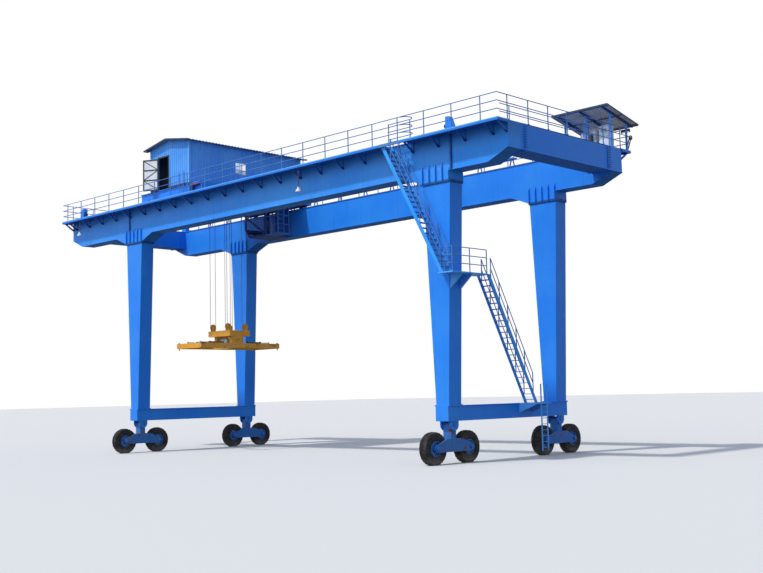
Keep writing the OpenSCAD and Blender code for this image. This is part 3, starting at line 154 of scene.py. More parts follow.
class Look(Wiring):
    """One material in the making, with its principled shader."""

    def __init__(self, name, metal=0.0, shine=MATT):
        self.mat = bpy.data.materials.new(name)
        self.mat.use_nodes = True
        super().__init__(self.mat.node_tree)
        self.shader = self.tree.nodes["Principled BSDF"].inputs
        self.plug(metal, self.shader["Metallic"])
        self.plug(POLISHED if metal else shine, self.shader["Specular IOR Level"])
        self.at = self.add("ShaderNodeTexCoord", out="Object")

    def along(self, axis):
        """One coordinate of the place on the surface."""
        return self.add("ShaderNodeSeparateXYZ", sockets={"Vector": self.at}, out=axis)

    def up(self):
        """The upward part of the surface normal."""
        normal = self.add("ShaderNodeNewGeometry", out="Normal")
        return self.add("ShaderNodeSeparateXYZ", sockets={"Vector": normal}, out="Z")

    def scaled(self, x, y, z):
        return self.add("ShaderNodeMapping", sockets={"Vector": self.at, "Scale": (x, y, z)})

    def noise(self, scale, detail=4.0, rough=0.55, at=None):
        return self.add("ShaderNodeTexNoise", sockets={"Vector": at or self.at, "Scale": scale,
                                                       "Detail": detail, "Roughness": rough}, out="Fac")

    def cells(self, scale, at=None):
        return self.add("ShaderNodeTexVoronoi", sockets={"Vector": at or self.at, "Scale": scale},
                        out="Distance")

    def finish(self, color, rough, bumps=None, height=0.004, strength=0.6):
        """Feeds the shader, with bumps of a height in metres, and gives the material."""
        self.plug(color, self.shader["Base Color"])
        self.plug(rough, self.shader["Roughness"])
        if bumps:
            bent = self.add("ShaderNodeBump", sockets={"Height": bumps, "Distance": height,
                                                       "Strength": strength})
            self.plug(bent, self.shader["Normal"])
        return self.mat


# Finishes

RUST = (0.16, 0.055, 0.022)
GRIME = (0.035, 0.045, 0.06)
DUST = (0.26, 0.30, 0.34)
HALO = (0.25, 0.16, 0.13)


def dim(tint, share, lift=0.0):
    """A colour darkened to a share of itself."""
    return tuple(share * c + lift for c in tint)


def enamel(name, tint, faded, rust=0.70, streaks=0.35, rough=0.38, wave=0.0, grime=0.5, painted_shade=None):
    """Weathered enamel on steel: fading, rain streaks, grime, a few rust spots and an uneven coat.
    Downward faces get painted shade, and where the share function given last is above 0 the coat is darker:
    painted shade."""
    look = Look(name)
    patches = look.noise(0.35, 3.0)
    fine = look.noise(9.0, 5.0)
    runs = look.noise(1.0, 5.0, 0.6, at=look.scaled(5.5, 5.5, 0.28))
    spots = look.noise(2.3, 7.0, 0.68)
    up = look.up()
    under = (-up).ramp(0.6, 0.95)
    worn = spots.ramp(rust, rust + 0.07) * fine.ramp(0.3, 0.6)
    halo = spots.ramp(rust - 0.06, rust + 0.02) * runs.ramp(0.35, 0.65)
    base = look.mix(patches.ramp(0.38, 0.68), tint, faded)
    base = look.mix(fine.ramp(0.45, 0.8) * 0.18, base, dim(tint, 0.7))
    base = look.mix(runs.ramp(0.52, 0.78) * streaks, base, dim(tint, 0.55, 0.01))
    base = look.mix(up.ramp(0.6, 0.95) * (patches.ramp(0.2, 0.7) * grime), base, DUST)
    # Painted shade: downward faces are darkened towards a third of the tint.
    base = look.mix(under * 0.45, base, dim(tint, 0.3))
    base = look.mix(under * (runs.ramp(0.3, 0.7) * grime), base, GRIME)
    # Painted shade: the coat is darkened where the given share function is above 0.
    if painted_shade:
        base = look.mix(painted_shade(look), base, dim(tint, 0.18, 0.004))
    base = look.mix(halo * 0.35, base, HALO)
    base = look.mix(worn, base, RUST)
    bumps = look.noise(26.0, 3.0) * 0.12 + worn * 0.6
    if wave:
        bumps = bumps + look.noise(0.9, 1.0, at=look.scaled(1.0, 1.0, 0.7)) * wave
    return look.finish(base, look.noise(3.0) * 0.22 + (rough - 0.11) + worn * 0.4 + under * 0.45, bumps)


def plain(name, tint, dark, rough=0.5, metal=0.0, scale=14.0):
    """A worn coat in two shades, for small parts."""
    look = Look(name, metal)
    base = look.mix(look.noise(scale, 5.0, 0.6).ramp(0.35, 0.7), tint, dark)
    return look.finish(base, look.noise(scale * 2.3) * 0.3 + (rough - 0.15), look.noise(scale * 6.0, 3.0),
                       0.002, 0.5)


def tyre_look():
    """Black rubber, greyed by dust and by mud on its lower part."""
    look = Look("tyre_rubber")
    dust = look.noise(4.0, 6.0, 0.65)
    low = (-look.along("Z")).ramp(-0.5, 0.0)
    base = look.mix(dust.ramp(0.4, 0.75) * 0.7, (0.022, 0.022, 0.024), (0.10, 0.09, 0.08))
    base = look.mix(low * dust.ramp(0.2, 0.6), base, (0.19, 0.17, 0.14))
    return look.finish(base, dust * 0.25 + 0.65, look.noise(60.0) + dust * 0.6, 0.004, 0.7)


def rail_look():
    """Rusty steel, polished on top by the wheels."""
    look = Look("running_rail", metal=0.8)
    top = look.up().ramp(0.9, 0.99)
    rust = look.noise(7.0, 6.0, 0.65)
    base = look.mix(rust.ramp(0.3, 0.7), (0.10, 0.055, 0.035), (0.20, 0.11, 0.07))
    return look.finish(look.mix(top * 0.85, base, (0.42, 0.42, 0.43)), 0.7 - top * 0.35, rust, 0.003)


def sheet_look(name, tint, faded, rust=0.66, runs_dark=0.45, inner=None):
    """Thin profiled sheet with rain streaks. Where inner(look) is 1 it is brown, as inside the house."""
    look = Look(name)
    patches = look.noise(0.6)
    runs = look.noise(1.0, 6.0, 0.65, at=look.scaled(9.0, 9.0, 0.5))
    spots = look.noise(3.5, 7.0, 0.7)
    base = look.mix(patches.ramp(0.35, 0.7), tint, faded)
    base = look.mix(runs.ramp(0.48, 0.8) * runs_dark, base, dim(tint, 0.5))
    base = look.mix(spots.ramp(rust, rust + 0.08), base, RUST)
    if inner:
        lining = look.mix(patches.ramp(0.3, 0.7), (0.20, 0.15, 0.14), (0.10, 0.11, 0.16))
        base = look.mix(inner(look), base, lining)
    return look.finish(base, patches * 0.2 + 0.4, look.noise(20.0) * 0.2 + patches * 0.8, 0.006, 0.5)


def chequer_look(name, top=None):
    """Tread plate: raised lozenges with dust between them. Below a walkway's top, at the height top, comes
    its edge channel, and below that are the brackets. The channel below its lip, the downward faces and the
    brackets are darkened as painted shade, and the brackets' feet are near black."""
    look = Look(name)
    long_x, long_y = (look.cells(16.0, at=look.scaled(*stretch)).ramp(0.28, 0.18)
                      for stretch in ((0.45, 1.0, 1.0), (1.0, 0.45, 1.0)))
    dust = look.noise(1.6, 6.0, 0.6)
    up = look.up().ramp(0.5, 0.9)
    edge = look.mix(look.noise(0.6).ramp(0.35, 0.7), (0.08, 0.39, 0.92), (0.13, 0.44, 0.90))
    if top:
        z = look.along("Z")
        lip, channel, bracket = top - 0.05, top - 0.142, top - 0.46
        # Painted shade: the edge channel below its lip, downward faces and the brackets are darker blue; the
        # brackets' feet are near black.
        edge = look.mix((z - lip).ramp(0.01, -0.01), edge, (0.026, 0.20, 0.74))
        below = (z - channel).ramp(0.004, -0.004) * 0.9
        edge = look.mix(below + (-look.up()).ramp(0.5, 0.8) * (1 - below), edge, (0.016, 0.11, 0.43))
        edge = look.mix((z - bracket).ramp(0.03, -0.03), edge, (0.006, 0.03, 0.10))
    base = look.mix(dust.ramp(0.35, 0.75) * (up * 0.6), edge, (0.24, 0.27, 0.30))
    base = look.mix(look.noise(3.0, 7.0, 0.7).ramp(0.64, 0.72), base, RUST)
    return look.finish(base, dust * 0.3 + 0.35, (long_x + long_y) * up + look.noise(30.0, 3.0) * 0.1)


def glass_look():
    """Clear panes with a little dust."""
    look = Look("cab_pane", shine=POLISHED)
    dust = look.noise(3.0, 5.0)
    base = look.mix(dust.ramp(0.4, 0.8), (0.05, 0.12, 0.24), (0.22, 0.30, 0.38))
    look.plug(dust * 0.08 + 0.02, look.shader["Alpha"])
    return look.finish(base, dust * 0.12 + 0.03)


def rope_look():
    """Greasy wire rope with slanting strands."""
    look = Look("wire_rope", metal=0.6)
    strand = look.add("ShaderNodeTexWave", {"bands_direction": "DIAGONAL"},
                      {"Vector": look.scaled(30.0, 30.0, 9.0), "Scale": 1.0}, out="Fac")
    base = look.mix(strand, (0.035, 0.034, 0.033), (0.13, 0.125, 0.12))
    return look.finish(base, strand * 0.2 + 0.4, strand, 0.004, 0.8)


def cloth_look():
    """Worn brown seat cloth."""
    look = Look("seat_cloth")
    weave = look.cells(160.0)
    wear = look.noise(5.0, 5.0)
    base = look.mix(wear.ramp(0.35, 0.7), (0.52, 0.36, 0.22), (0.38, 0.25, 0.15))
    base = look.mix(weave.ramp(0.2, 0.6) * 0.3, base, (0.2, 0.13, 0.08))
    return look.finish(base, wear * 0.1 + 0.85, weave, 0.002, 0.8)


def drive_look():
    """The trolley's drives: blue gear cases and dark red motors."""
    look = Look("drive_enamel")
    motor = (look.along("X") - (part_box("trolley_drives")[0].x + 0.29)).ramp(-0.002, 0.002)
    dirt = look.noise(9.0, 5.0, 0.6)
    red = look.mix(dirt.ramp(0.35, 0.7), (0.26, 0.035, 0.05), (0.12, 0.03, 0.04))
    blue = look.mix(dirt.ramp(0.35, 0.7), (0.03, 0.10, 0.30), (0.03, 0.05, 0.10))
    return look.finish(look.mix(motor, blue, red), dirt * 0.3 + 0.4, look.noise(70.0, 3.0), 0.002, 0.5)


def leg_flanges(look):
    """Painted shade: a darker band round the flanges between the legs and the girders."""
    return (abs(look.along("Z") - leg_top) - 0.042).ramp(0.004, -0.004) * 0.8


def under_walkway(look):
    """Painted shade below the walkway on the upper part of the near girder's web, and on its flanges at the
    legs.
    """
    return leg_flanges(look) + (look.along("Z") - (deck - 1.0)).ramp(0.0, 0.9) * 0.4


def beam_top(look):
    """Painted shade: a dark edge along the top of an end beam, left off its upward faces."""
    return (look.along("Z") - (deck - 0.05)).ramp(-0.01, 0.01) * (1 - look.up().ramp(0.3, 0.6)) * 0.8


def rafters(look):
    """Painted shade on the canopy frame's rafters within 0.14 m under its roof, along the slope of its roof.
    """
    lo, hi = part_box("canopy_roof")
    fall = (hi.z - lo.z - 0.05) / (hi.y - lo.y)
    rafter_foot = lo.z + hi.y * fall - 0.14
    return (look.along("Z") + look.along("Y") * fall - rafter_foot).ramp(-0.005, 0.005) * 0.85


def inside_house(look):
    """1 on the faces that look into the machinery house."""
    half_wall = 0.03
    across = (house_hi.x - half_wall - trolley_x) - abs(look.along("X") - trolley_x)
    lengthwise = (house_y - half_wall) - abs(look.along("Y"))
    return across.ramp(-0.002, 0.002) * lengthwise.ramp(-0.002, 0.002)


# The share functions given last paint shade into these coats.
BLUE = enamel("crane_enamel", (0.018, 0.235, 0.87), (0.03, 0.27, 0.88), wave=2.5, painted_shade=leg_flanges)
NEAR = enamel("near_enamel", (0.030, 0.285, 0.89), (0.055, 0.33, 0.90), rust=0.69, wave=2.5,
              painted_shade=under_walkway)
BEAM = enamel("beam_enamel", (0.018, 0.225, 0.84), (0.030, 0.25, 0.86), rust=0.66, wave=2.0, painted_shade=beam_top)
FRAME = enamel("canopy_enamel", (0.05, 0.28, 0.86), (0.08, 0.32, 0.86), painted_shade=rafters)
EDGE = enamel("edge_enamel", (0.03, 0.33, 0.92), (0.06, 0.38, 0.90))
RAIL = enamel("handrail_enamel", (0.055, 0.18, 0.50), (0.10, 0.26, 0.58), rust=0.66, rough=0.45, grime=0.3)
GEAR = enamel("gear_enamel", (0.02, 0.16, 0.55), (0.04, 0.19, 0.52), rust=0.58, streaks=0.6, grime=0.9)
GOLD = enamel("spreader_enamel", (0.80, 0.36, 0.03), (0.84, 0.44, 0.08), rust=0.58, streaks=0.5, grime=0.8)
# Dark navy for the cab, partly its paint and partly painted shade; the cable ducts share it.
CABIN = enamel("cab_enamel", (0.010, 0.06, 0.26), (0.018, 0.09, 0.30), rust=0.66)
TRIM = enamel("trim_enamel", (0.12, 0.42, 0.92), (0.17, 0.47, 0.90))
TREAD = chequer_look("tread_plate")
DECK = chequer_look("walkway_plate", deck)
WALL = sheet_look("house_sheet", (0.08, 0.33, 0.86), (0.13, 0.40, 0.90), runs_dark=0.25, inner=inside_house)
ROOF = sheet_look("roof_sheet", (0.10, 0.17, 0.28), (0.18, 0.24, 0.33), rust=0.60)
TYRE = tyre_look()
STEEL = rail_look()
ROPE = rope_look()
GLASS = glass_look()
CLOTH = cloth_look()
DRIVE = drive_look()
WHITE = plain("lamp_white", (0.76, 0.77, 0.78), (0.58, 0.59, 0.60), rough=0.35)
PANEL = plain("door_panel", (0.88, 0.90, 0.93), (0.74, 0.76, 0.78), scale=4.0)
GREY = plain("cabinet_grey", (0.72, 0.75, 0.76), (0.54, 0.57, 0.58), rough=0.45, scale=3.0)
DARK = plain("dark_steel", (0.035, 0.04, 0.05), (0.09, 0.07, 0.06), rough=0.6, metal=0.3)
BLACK = plain("black_rubber", (0.015, 0.015, 0.016), (0.04, 0.038, 0.036), rough=0.75)
ZINC = plain("galvanised", (0.42, 0.44, 0.46), (0.30, 0.31, 0.33), rough=0.4, metal=0.7, scale=30.0)
BOLT = plain("painted_bolts", (0.012, 0.07, 0.30), (0.03, 0.05, 0.10), scale=30.0)
VERGE = plain("verge_blue", (0.035, 0.065, 0.16), (0.06, 0.08, 0.14), scale=6.0)
LINING = plain("canopy_sheet", (0.52, 0.52, 0.54), (0.40, 0.37, 0.36), rough=0.6, metal=0.3, scale=1.5)
LENS = plain("lamp_lens", (0.75, 0.78, 0.80), (0.60, 0.64, 0.66), rough=0.12)
# Window panes are mirrors whose tints are painted reflections: a pale glare, a sky blue, and a dim grey that
# paints shade.
PANE_PAINTED_GLARE = plain("window_painted_glare", (0.90, 0.93, 0.98), (0.78, 0.84, 0.92), rough=0.18, metal=0.9, scale=2.0)
PANE_PAINTED_SKY = plain("window_painted_sky", (0.52, 0.68, 0.94), (0.40, 0.56, 0.84), rough=0.18, metal=0.9, scale=2.0)
PANE_PAINTED_DIM = plain("window_painted_dim", (0.44, 0.49, 0.56), (0.34, 0.38, 0.45), rough=0.2, metal=0.8, scale=2.0)
BROWN = plain("weathered_brown", (0.16, 0.10, 0.085), (0.09, 0.065, 0.06), rough=0.7, scale=5.0)

LOOKS = {
    BLUE: ["far_girder", "near_right_leg", "near_left_leg", "far_right_leg", "far_left_leg",
           "right_sill_beam", "left_sill_beam", "trolley_frame", "rail_stops"],
    NEAR: ["near_girder"],
    BEAM: ["right_end_beam", "left_end_beam", "cab_hanger"],
    FRAME: ["canopy_frame"],
    CABIN: ["cab_shell", "cable_ducts"],
    DECK: ["near_walkway", "far_walkway"],
    TREAD: ["stair_landings"],
    EDGE: ["upper_stair", "lower_stair"],
    RAIL: ["near_handrail", "far_handrail", "end_handrails", "stair_handrails", "stair_guard",
           "cable_trough", "trolley_ladder", "cab_platform"],
    STEEL: ["trolley_rails", "trolley_wheels"],
    GEAR: ["right_bogies", "left_bogies"],
    TYRE: ["right_tyres", "left_tyres"],
    WALL: ["house_front_wall", "house_back_wall", "house_left_wall", "house_right_wall"],
    ROOF: ["house_roof", "canopy_roof"],
    GREY: ["electric_cabinets"],
    DARK: ["cable_guide"],
    WHITE: ["floodlights", "house_window"],
    PANEL: ["house_door"],
    DRIVE: ["trolley_drives"],
    GLASS: ["cab_glass"],
    CLOTH: ["cab_seat"],
    ROPE: ["hoist_ropes"],
    GOLD: ["headblock", "spreader"],
}
for mat, names in LOOKS.items():
    for name in names:
        mesh = nodes[name].data
        mesh.materials.clear()
        mesh.materials.append(mat)


# Mesh building


def spread(start, stop, count):
    """Places at even distances, with both ends among them."""
    return [start + (stop - start) * i / (count - 1) for i in range(count)]


def every(pitch, start, stop):
    """Places one pitch apart, from start on and below stop."""
    places = []
    while start < stop:
        places.append(start)
        start += pitch
    return places


def circle(count, radius=1.0, start=0.0):
    """Points at even angles round a circle."""
    turns = [start + 2 * math.pi * i / count for i in range(count)]
    return [(radius * math.cos(turn), radius * math.sin(turn)) for turn in turns]


def placed(at, way, side):
    """The place of a shape whose Z goes along way and whose Y goes along side."""
    return Matrix.Translation(at) @ Matrix((side.cross(way), side, way)).transposed().to_4x4()


def standing(at, axis):
    """The place of a shape that stands on a point along an axis."""
    way = Vector(axis).normalized()
    return placed(at, way, way.orthogonal().normalized())


def moved(*shift):
    return Matrix.Translation(shift)


def plate(outline, along):
    """A flat face across one axis, from an outline in the two others."""
    part = bmesh.new()
    axis = "xyz".index(along)
    part.faces.new([part.verts.new((*point[:axis], 0, *point[axis:])) for point in outline])
    return part


def far_end(part, face):
    """Extrudes a face and gives the new one. The face that a solid starts from stays as its end."""
    made = bmesh.ops.extrude_face_region(part, geom=[face, *face.edges])["geom"]
    return next(item for item in made if isinstance(item, bmesh.types.BMFace))


class Piece:
    """Solids that bmesh operators make one by one, handed over as one object."""

    def __init__(self, name, body, *mats):
        self.name = name
        self.body = body
        self.mats = mats
        self.mat = 0
        self.bm = bmesh.new()
        self.mesh = bpy.data.meshes.new(name)

    def use(self, index):
        """The solids that follow get this one of the piece's materials."""
        self.mat = index
        return self

    def take(self, part, place=Matrix()):
        """Puts a closed solid in its place among the others, with its faces outwards."""
        bmesh.ops.transform(part, matrix=place, verts=part.verts)
        bmesh.ops.remove_doubles(part, verts=part.verts, dist=1e-6)
        bmesh.ops.recalc_face_normals(part, faces=part.faces)
        for face in part.faces:
            face.material_index = self.mat
        part.to_mesh(self.mesh)
        part.free()
        self.bm.from_mesh(self.mesh)

    def box(self, corner, opposite):
        """A box between two opposite corners, in any order."""
        a, b = Vector(corner), Vector(opposite)
        part = bmesh.new()
        bmesh.ops.create_cube(part, size=1)
        self.take(part, Matrix.Translation((a + b) / 2) @ Matrix.Diagonal((*(b - a), 1)))

    def sweep(self, part, places):
        """The one face of part, set at the first place and extruded through the others."""
        bmesh.ops.transform(part, matrix=places[0], verts=part.verts)
        face = next(iter(part.faces))
        for here, there in itertools.pairwise(places):
            face = far_end(part, face)
            bmesh.ops.transform(part, matrix=there @ here.inverted(), verts=face.verts)
        self.take(part)

    def prism(self, outline, along, start, stop):
        """An outline in the two other axes, extruded along one axis."""
        axis = Vector([along == name for name in "xyz"])
        self.sweep(plate(outline, along), [moved(*(axis * t)) for t in (start, stop)])

    def loft(self, rings):
        """A solid through rings of as many points each, extruded from ring to ring."""
        part = bmesh.new()
        face = part.faces.new([part.verts.new(point) for point in rings[0]])
        for ring in rings[1:]:
            face = far_end(part, face)
            for vert, point in zip(face.verts, ring):
                vert.co = point
        self.take(part)

    def turn(self, profile, at, axis=(0, 0, 1), steps=24, closed=False):
        """A profile of (radius, height) spun about an axis through at. A closed profile makes a ring."""
        part = bmesh.new()
        line = [part.verts.new((0, radius, height)) for radius, height in profile]
        ends = line[1:] + (line[:1] if closed else [])
        edges = [part.edges.new(pair) for pair in zip(line, ends)]
        bmesh.ops.spin(part, geom=line + edges, axis=(0, 0, 1), angle=2 * math.pi, steps=steps,
                       use_merge=True)
        bmesh.ops.holes_fill(part, edges=[edge for edge in part.edges if edge.is_boundary])
        self.take(part, standing(at, axis))

    def rod(self, start, stop, r, steps=8):
        """A round bar between two points."""
        a, b = Vector(start), Vector(stop)
        part = bmesh.new()
        bmesh.ops.create_cone(part, cap_ends=True, segments=steps, radius1=r, radius2=r, depth=(b - a).length)
        self.take(part, standing((a + b) / 2, b - a))

    def pipe(self, points, r, steps=8):
        """A round tube along a line of points, mitred at the bends."""
        points = [Vector(point) for point in points]
        ways = [(b - a).normalized() for a, b in itertools.pairwise(points)]
        side = ways[0].orthogonal()
        places = []
        for point, before, after in zip(points, ways[:1] + ways, ways + ways[-1:]):
            way = (before + after).normalized()
            side = (side - way * side.dot(way)).normalized()
            places.append(placed(point, way, side))
        part = bmesh.new()
        bmesh.ops.create_circle(part, cap_ends=True, segments=steps, radius=r)
        self.sweep(part, places)

    def bolt(self, at, axis=(0, 0, 1), r=0.02, h=0.022):
        """A washer and a hexagon head."""
        at, way = Vector(at), Vector(axis).normalized()
        self.rod(at, at + way * (0.22 * h), 1.45 * r, 12)
        self.turn([(r, 0.2 * h), (r, 0.9 * h), (0.8 * r, h)], at, way, 6)

    def done(self, smooth=0.0, bevel=0.0, place=Matrix()):
        """The object, set in its place, riding on its body."""
        bmesh.ops.transform(self.bm, matrix=place, verts=self.bm.verts)
        self.bm.to_mesh(self.mesh)
        self.bm.free()
        for mat in self.mats:
            self.mesh.materials.append(mat)
        obj = bpy.data.objects.new(self.name, self.mesh)
        bpy.context.scene.collection.objects.link(obj)
        if smooth:
            self.mesh.shade_smooth()
            self.mesh.set_sharp_from_angle(angle=math.radians(smooth))
        if bevel:
            mod = obj.modifiers.new("edge", "BEVEL")
            mod.width = bevel
            mod.segments = 1
            mod.limit_method = "ANGLE"
            mod.angle_limit = math.radians(50)
        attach(obj, self.body)
        return obj


def islands(name):
    """The boxes of the separate solids in a CAD node."""
    bm = bmesh.new()
    bm.from_mesh(nodes[name].data)
    bmesh.ops.remove_doubles(bm, verts=bm.verts, dist=1e-4)
    found, seen = [], set()
    for start in bm.verts:
        if start in seen:
            continue
        seen.add(start)
        group, todo = [], [start]
        while todo:
            vert = todo.pop()
            group.append(vert.co.copy())
            others = {edge.other_vert(vert) for edge in vert.link_edges} - seen
            seen |= others
            todo += others
        found.append(tuple(Vector(pick(co[i] for co in group) for i in range(3)) for pick in (min, max)))
    bm.free()
    return found


def feet(name, z):
    """Middles of the posts of a CAD node that stand at one height."""
    spots = []
    for co in (vert.co.copy() for vert in nodes[name].data.vertices if abs(vert.co.z - z) < 0.004):
        near = [spot for spot in spots if (spot[0].xy - co.xy).length < 0.1]
        if near:
            near[0].append(co)
        else:
            spots.append([co])
    return [[(min(co[i] for co in spot) + max(co[i] for co in spot)) / 2 for i in (0, 1)] for spot in spots]


def ribbed(start, stop, pitch, height, thick=0.004):
    """The section of a sheet with trapezoid ribs, as (across, lift)."""
    line = []
    for u in every(pitch, start, stop):
        line += [(u, 0), (u + 0.34 * pitch, 0), (u + 0.46 * pitch, height), (u + 0.88 * pitch, height)]
    line = [(min(u, stop), h) for u, h in line]
    while line[-2][0] >= stop:
        line.pop()
    return line + [(u, h - thick) for u, h in reversed(line)]


# Girders and legs


def flange_bolts():
    """Bolts through the flanges between the legs and the girders."""
    p = Piece("leg_flange_bolts", "crane", BOLT)
    edge, flange_t, shank = 0.022, 0.04, 0.019
    half_x = (leg_hi.x - leg_lo.x) / 2 - edge
    half_y = (web_out - web_in) / 2 + edge
    spots = [(dx, side * half_y) for dx in spread(-half_x, half_x, 15) for side in SIDES]
    spots += [(side * half_x, dy) for dy in spread(-half_y, half_y, 8)[1:-1] for side in SIDES]
    for x, y, (dx, dy) in itertools.product(leg_xs, (-half_gauge, half_gauge), spots):
        for way, length in ((-1, 0.05), (1, 0.03)):
            p.bolt((x + dx, y + dy, leg_top + way * flange_t), (0, 0, way), shank, length)
    p.done()


def weld_seams():
    """Butt welds between the web plates, as low rounded beads."""
    p = Piece("web_welds", "crane", BLUE)
    bead = [(-0.011, 0.0), (-0.006, 0.003), (0.006, 0.003), (0.011, 0.0)]
    plate_l, first, leg_zone = 3.05, 3.1, 1.9
    for x in every(plate_l, girder_lo.x + first, girder_hi.x - 2):
        if all(abs(x - leg_x) > leg_zone for leg_x in leg_xs):
            for y, out in ((web_out, 1), (web_in, -1), (-web_out, -1), (-web_in, 1)):
                p.prism([(x + u, y + out * v) for u, v in bead], "z", deck - 1.67, deck - 0.03)
    p.done()


def rail_clips():
    """The clips that hold the trolley rails down, in pairs."""
    p = Piece("rail_clips", "crane", DARK)
    lo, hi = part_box("trolley_rails")
    foot, wide, low, high, pitch = 0.063, 0.03, 0.018, 0.03, 0.75
    clip = [(0, 0), (0.06, 0), (0.06, low), (0.012, high), (-0.022, high), (-0.022, low), (0, low)]
    for x in every(pitch, lo.x + 0.7, hi.x - 0.7):
        for side, face in itertools.product(SIDES, SIDES):
            y = side * half_gauge + face * foot
            p.prism([(y + face * u, deck + v) for u, v in clip], "x", x - wide, x + wide)
            p.bolt((x, y + face * 0.03, deck + 0.024), (0, 0, 1), 0.011, 0.02)
    p.done()


flange_bolts()
weld_seams()
rail_clips()


# Fittings on the deck


def post_feet():
    """Bolted plates under the handrail posts."""
    p = Piece("post_feet", "crane", RAIL, ZINC)
    half_l, half_w, thick, rim = 0.07, 0.055, 0.010, 0.004
    for name in ("near_handrail", "far_handrail", "end_handrails"):
        for x, y in feet(name, deck):
            x0, x1 = max(x - half_l, left_end + rim), min(x + half_l, right_end - rim)
            y0, y1 = max(y - half_w, rim - deck_half), min(y + half_w, deck_half - rim)
            p.use(0).box((x0, y0, deck + 0.0005), (x1, y1, deck + thick))
            for bolt_x in (x0 + 0.02, x1 - 0.02):
                p.use(1).bolt((bolt_x, (y0 + y1) / 2, deck + thick), r=0.009, h=0.014)
    p.done()


def plate_seams():
    """Weld beads between the plates of the walkways."""
    p = Piece("walkway_seams", "crane", DECK)
    bead = [(-0.012, 0.0), (-0.006, 0.003), (0.006, 0.003), (0.012, 0.0)]
    plate_l = 1.5
    stair_start, stair_end = 10.9, 12.5
    for x in every(plate_l, left_end + plate_l, right_end - 1):
        for side in SIDES:
            if side > 0 or not stair_start < x < stair_end:
                p.prism([(x + u, deck + v) for u, v in bead], "y",
                        side * (web_out + 0.02), side * (deck_half - 0.02))
    p.done()


def splice_bolts():
    """Rows of bolts in the end beams' splices."""
    p = Piece("splice_bolts", "crane", BOLT)
    for name, out in (("right_end_beam", 1), ("left_end_beam", -1)):
        lo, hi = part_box(name)
        x = hi.x if out > 0 else lo.x
        rows = spread(lo.z + 0.16, hi.z - 0.14, 9)
        for side, column, z in itertools.product(SIDES, (-0.12, -0.04, 0.04, 0.12), rows):
            p.bolt((x, side * (hi.y - 0.32) + column, z), (out, 0, 0), 0.016, 0.018)
    p.done()


def buffers():
    """Rubber pads on the end stops."""
    p = Piece("buffer_pads", "crane", BLACK)
    stops_lo, stops_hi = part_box("rail_stops")
    gap = 0.0015
    for lo, hi in islands("rail_stops"):
        right = lo.x + hi.x > stops_lo.x + stops_hi.x
        tip, way = (lo.x, 1) if right else (hi.x, -1)
        y = (lo.y + hi.y) / 2
        p.turn([(0.085, 0), (0.104, 0.006), (0.113, 0.022), (0.113, 0.1), (0.118, 0.114)],
               (tip - way * gap, y, pad_height(tip, y)), (way, 0, 0), 28)
    p.done(smooth=40)


def pad_height(tip, y):
    """Height of the middle of an end stop's pad."""
    rows = [vert.co.z for vert in nodes["rail_stops"].data.vertices
            if abs(vert.co.x - tip) < 0.002 and abs(vert.co.y - y) < 0.2]
    return (min(rows) + max(rows)) / 2


def trough_cables():
    """Three cables that lie in the trough of the far walkway."""
    p = Piece("trough_cables", "crane", BLACK)
    lo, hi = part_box("cable_trough")
    middle, floor, apart = hi.y - 0.11, hi.z - 0.079, 0.06
    for place, r in ((-1, 0.022), (0, 0.028), (1, 0.018)):
        p.pipe([(x, middle + apart * place + 0.008 * math.sin(x * 1.7 + place), floor + r)
                for x in spread(lo.x + 0.12, hi.x - 0.12, 61)], r, 10)
    p.done(smooth=60)


def lamp_bells():
    """The floodlights: a rod, a bell, a lamp holder and a bulb."""
    p = Piece("lamp_bells", "crane", WHITE, BROWN, LENS)
    for lo, hi in islands("floodlights"):
        x, y, z = (lo.x + hi.x) / 2, (lo.y + hi.y) / 2, lo.z
        r = (hi.x - lo.x) / 2
        bell = [(r, 0), (r - 0.005, 0.02), (0.90 * r, 0.075), (0.62 * r, 0.13), (0.42 * r, 0.165),
                (0.34 * r, 0.21), (0.30 * r, 0.262), (0.02, 0.268), (0.02, 0.25), (0.27 * r, 0.24),
                (0.30 * r, 0.20), (0.38 * r, 0.158), (0.58 * r, 0.122), (0.86 * r, 0.068), (r - 0.014, 0.0)]
        bulb = [(0.012, 0.03), (0.036, 0.04), (0.052, 0.075), (0.05, 0.115), (0.03, 0.16), (0.024, 0.235)]
        holder = [(0.03, 0.25), (0.034, 0.262), (0.034, 0.30), (0.018, 0.33)]
        p.use(0).turn(bell, (x, y, z), steps=40, closed=True)
        p.use(2).turn(bulb, (x, y, z), steps=20)
        p.use(1).rod((x, y, z + 0.255), (x, y, hi.z), 0.017, 14)
        p.turn(holder, (x, y, z), steps=16)
        p.turn([(0.05, -0.012), (0.05, -0.002), (0.03, -0.001)], (x, y, hi.z), steps=16)
        p.pipe([(x + 0.022, y + 0.01 * math.sin(9 * t), z + 0.30 + (hi.z - z - 0.31) * t)
                for t in spread(0, 1, 11)], 0.006, 6)
    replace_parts(p.done(smooth=35), "floodlights")


def duct_clamps():
    """Clamps that hold the cable ducts."""
    p = Piece("duct_clamps", "crane", BOLT)
    lug, thick, high, pitch = 0.03, 0.004, 0.035, 0.55
    for lo, hi in islands("cable_ducts"):
        for z in every(pitch, lo.z + 0.2, hi.z - 0.1):
            p.box((lo.x - lug, lo.y - thick, z), (hi.x + lug, lo.y - 0.0005, z + high))
            for x in (lo.x - 0.018, hi.x + 0.018):
                p.bolt((x, lo.y - thick, z + 0.018), (0, -1, 0), 0.006, 0.008)
    p.done()


post_feet()
plate_seams()
splice_bolts()
buffers()
trough_cables()
lamp_bells()
duct_clamps()


# Tyres and running gear


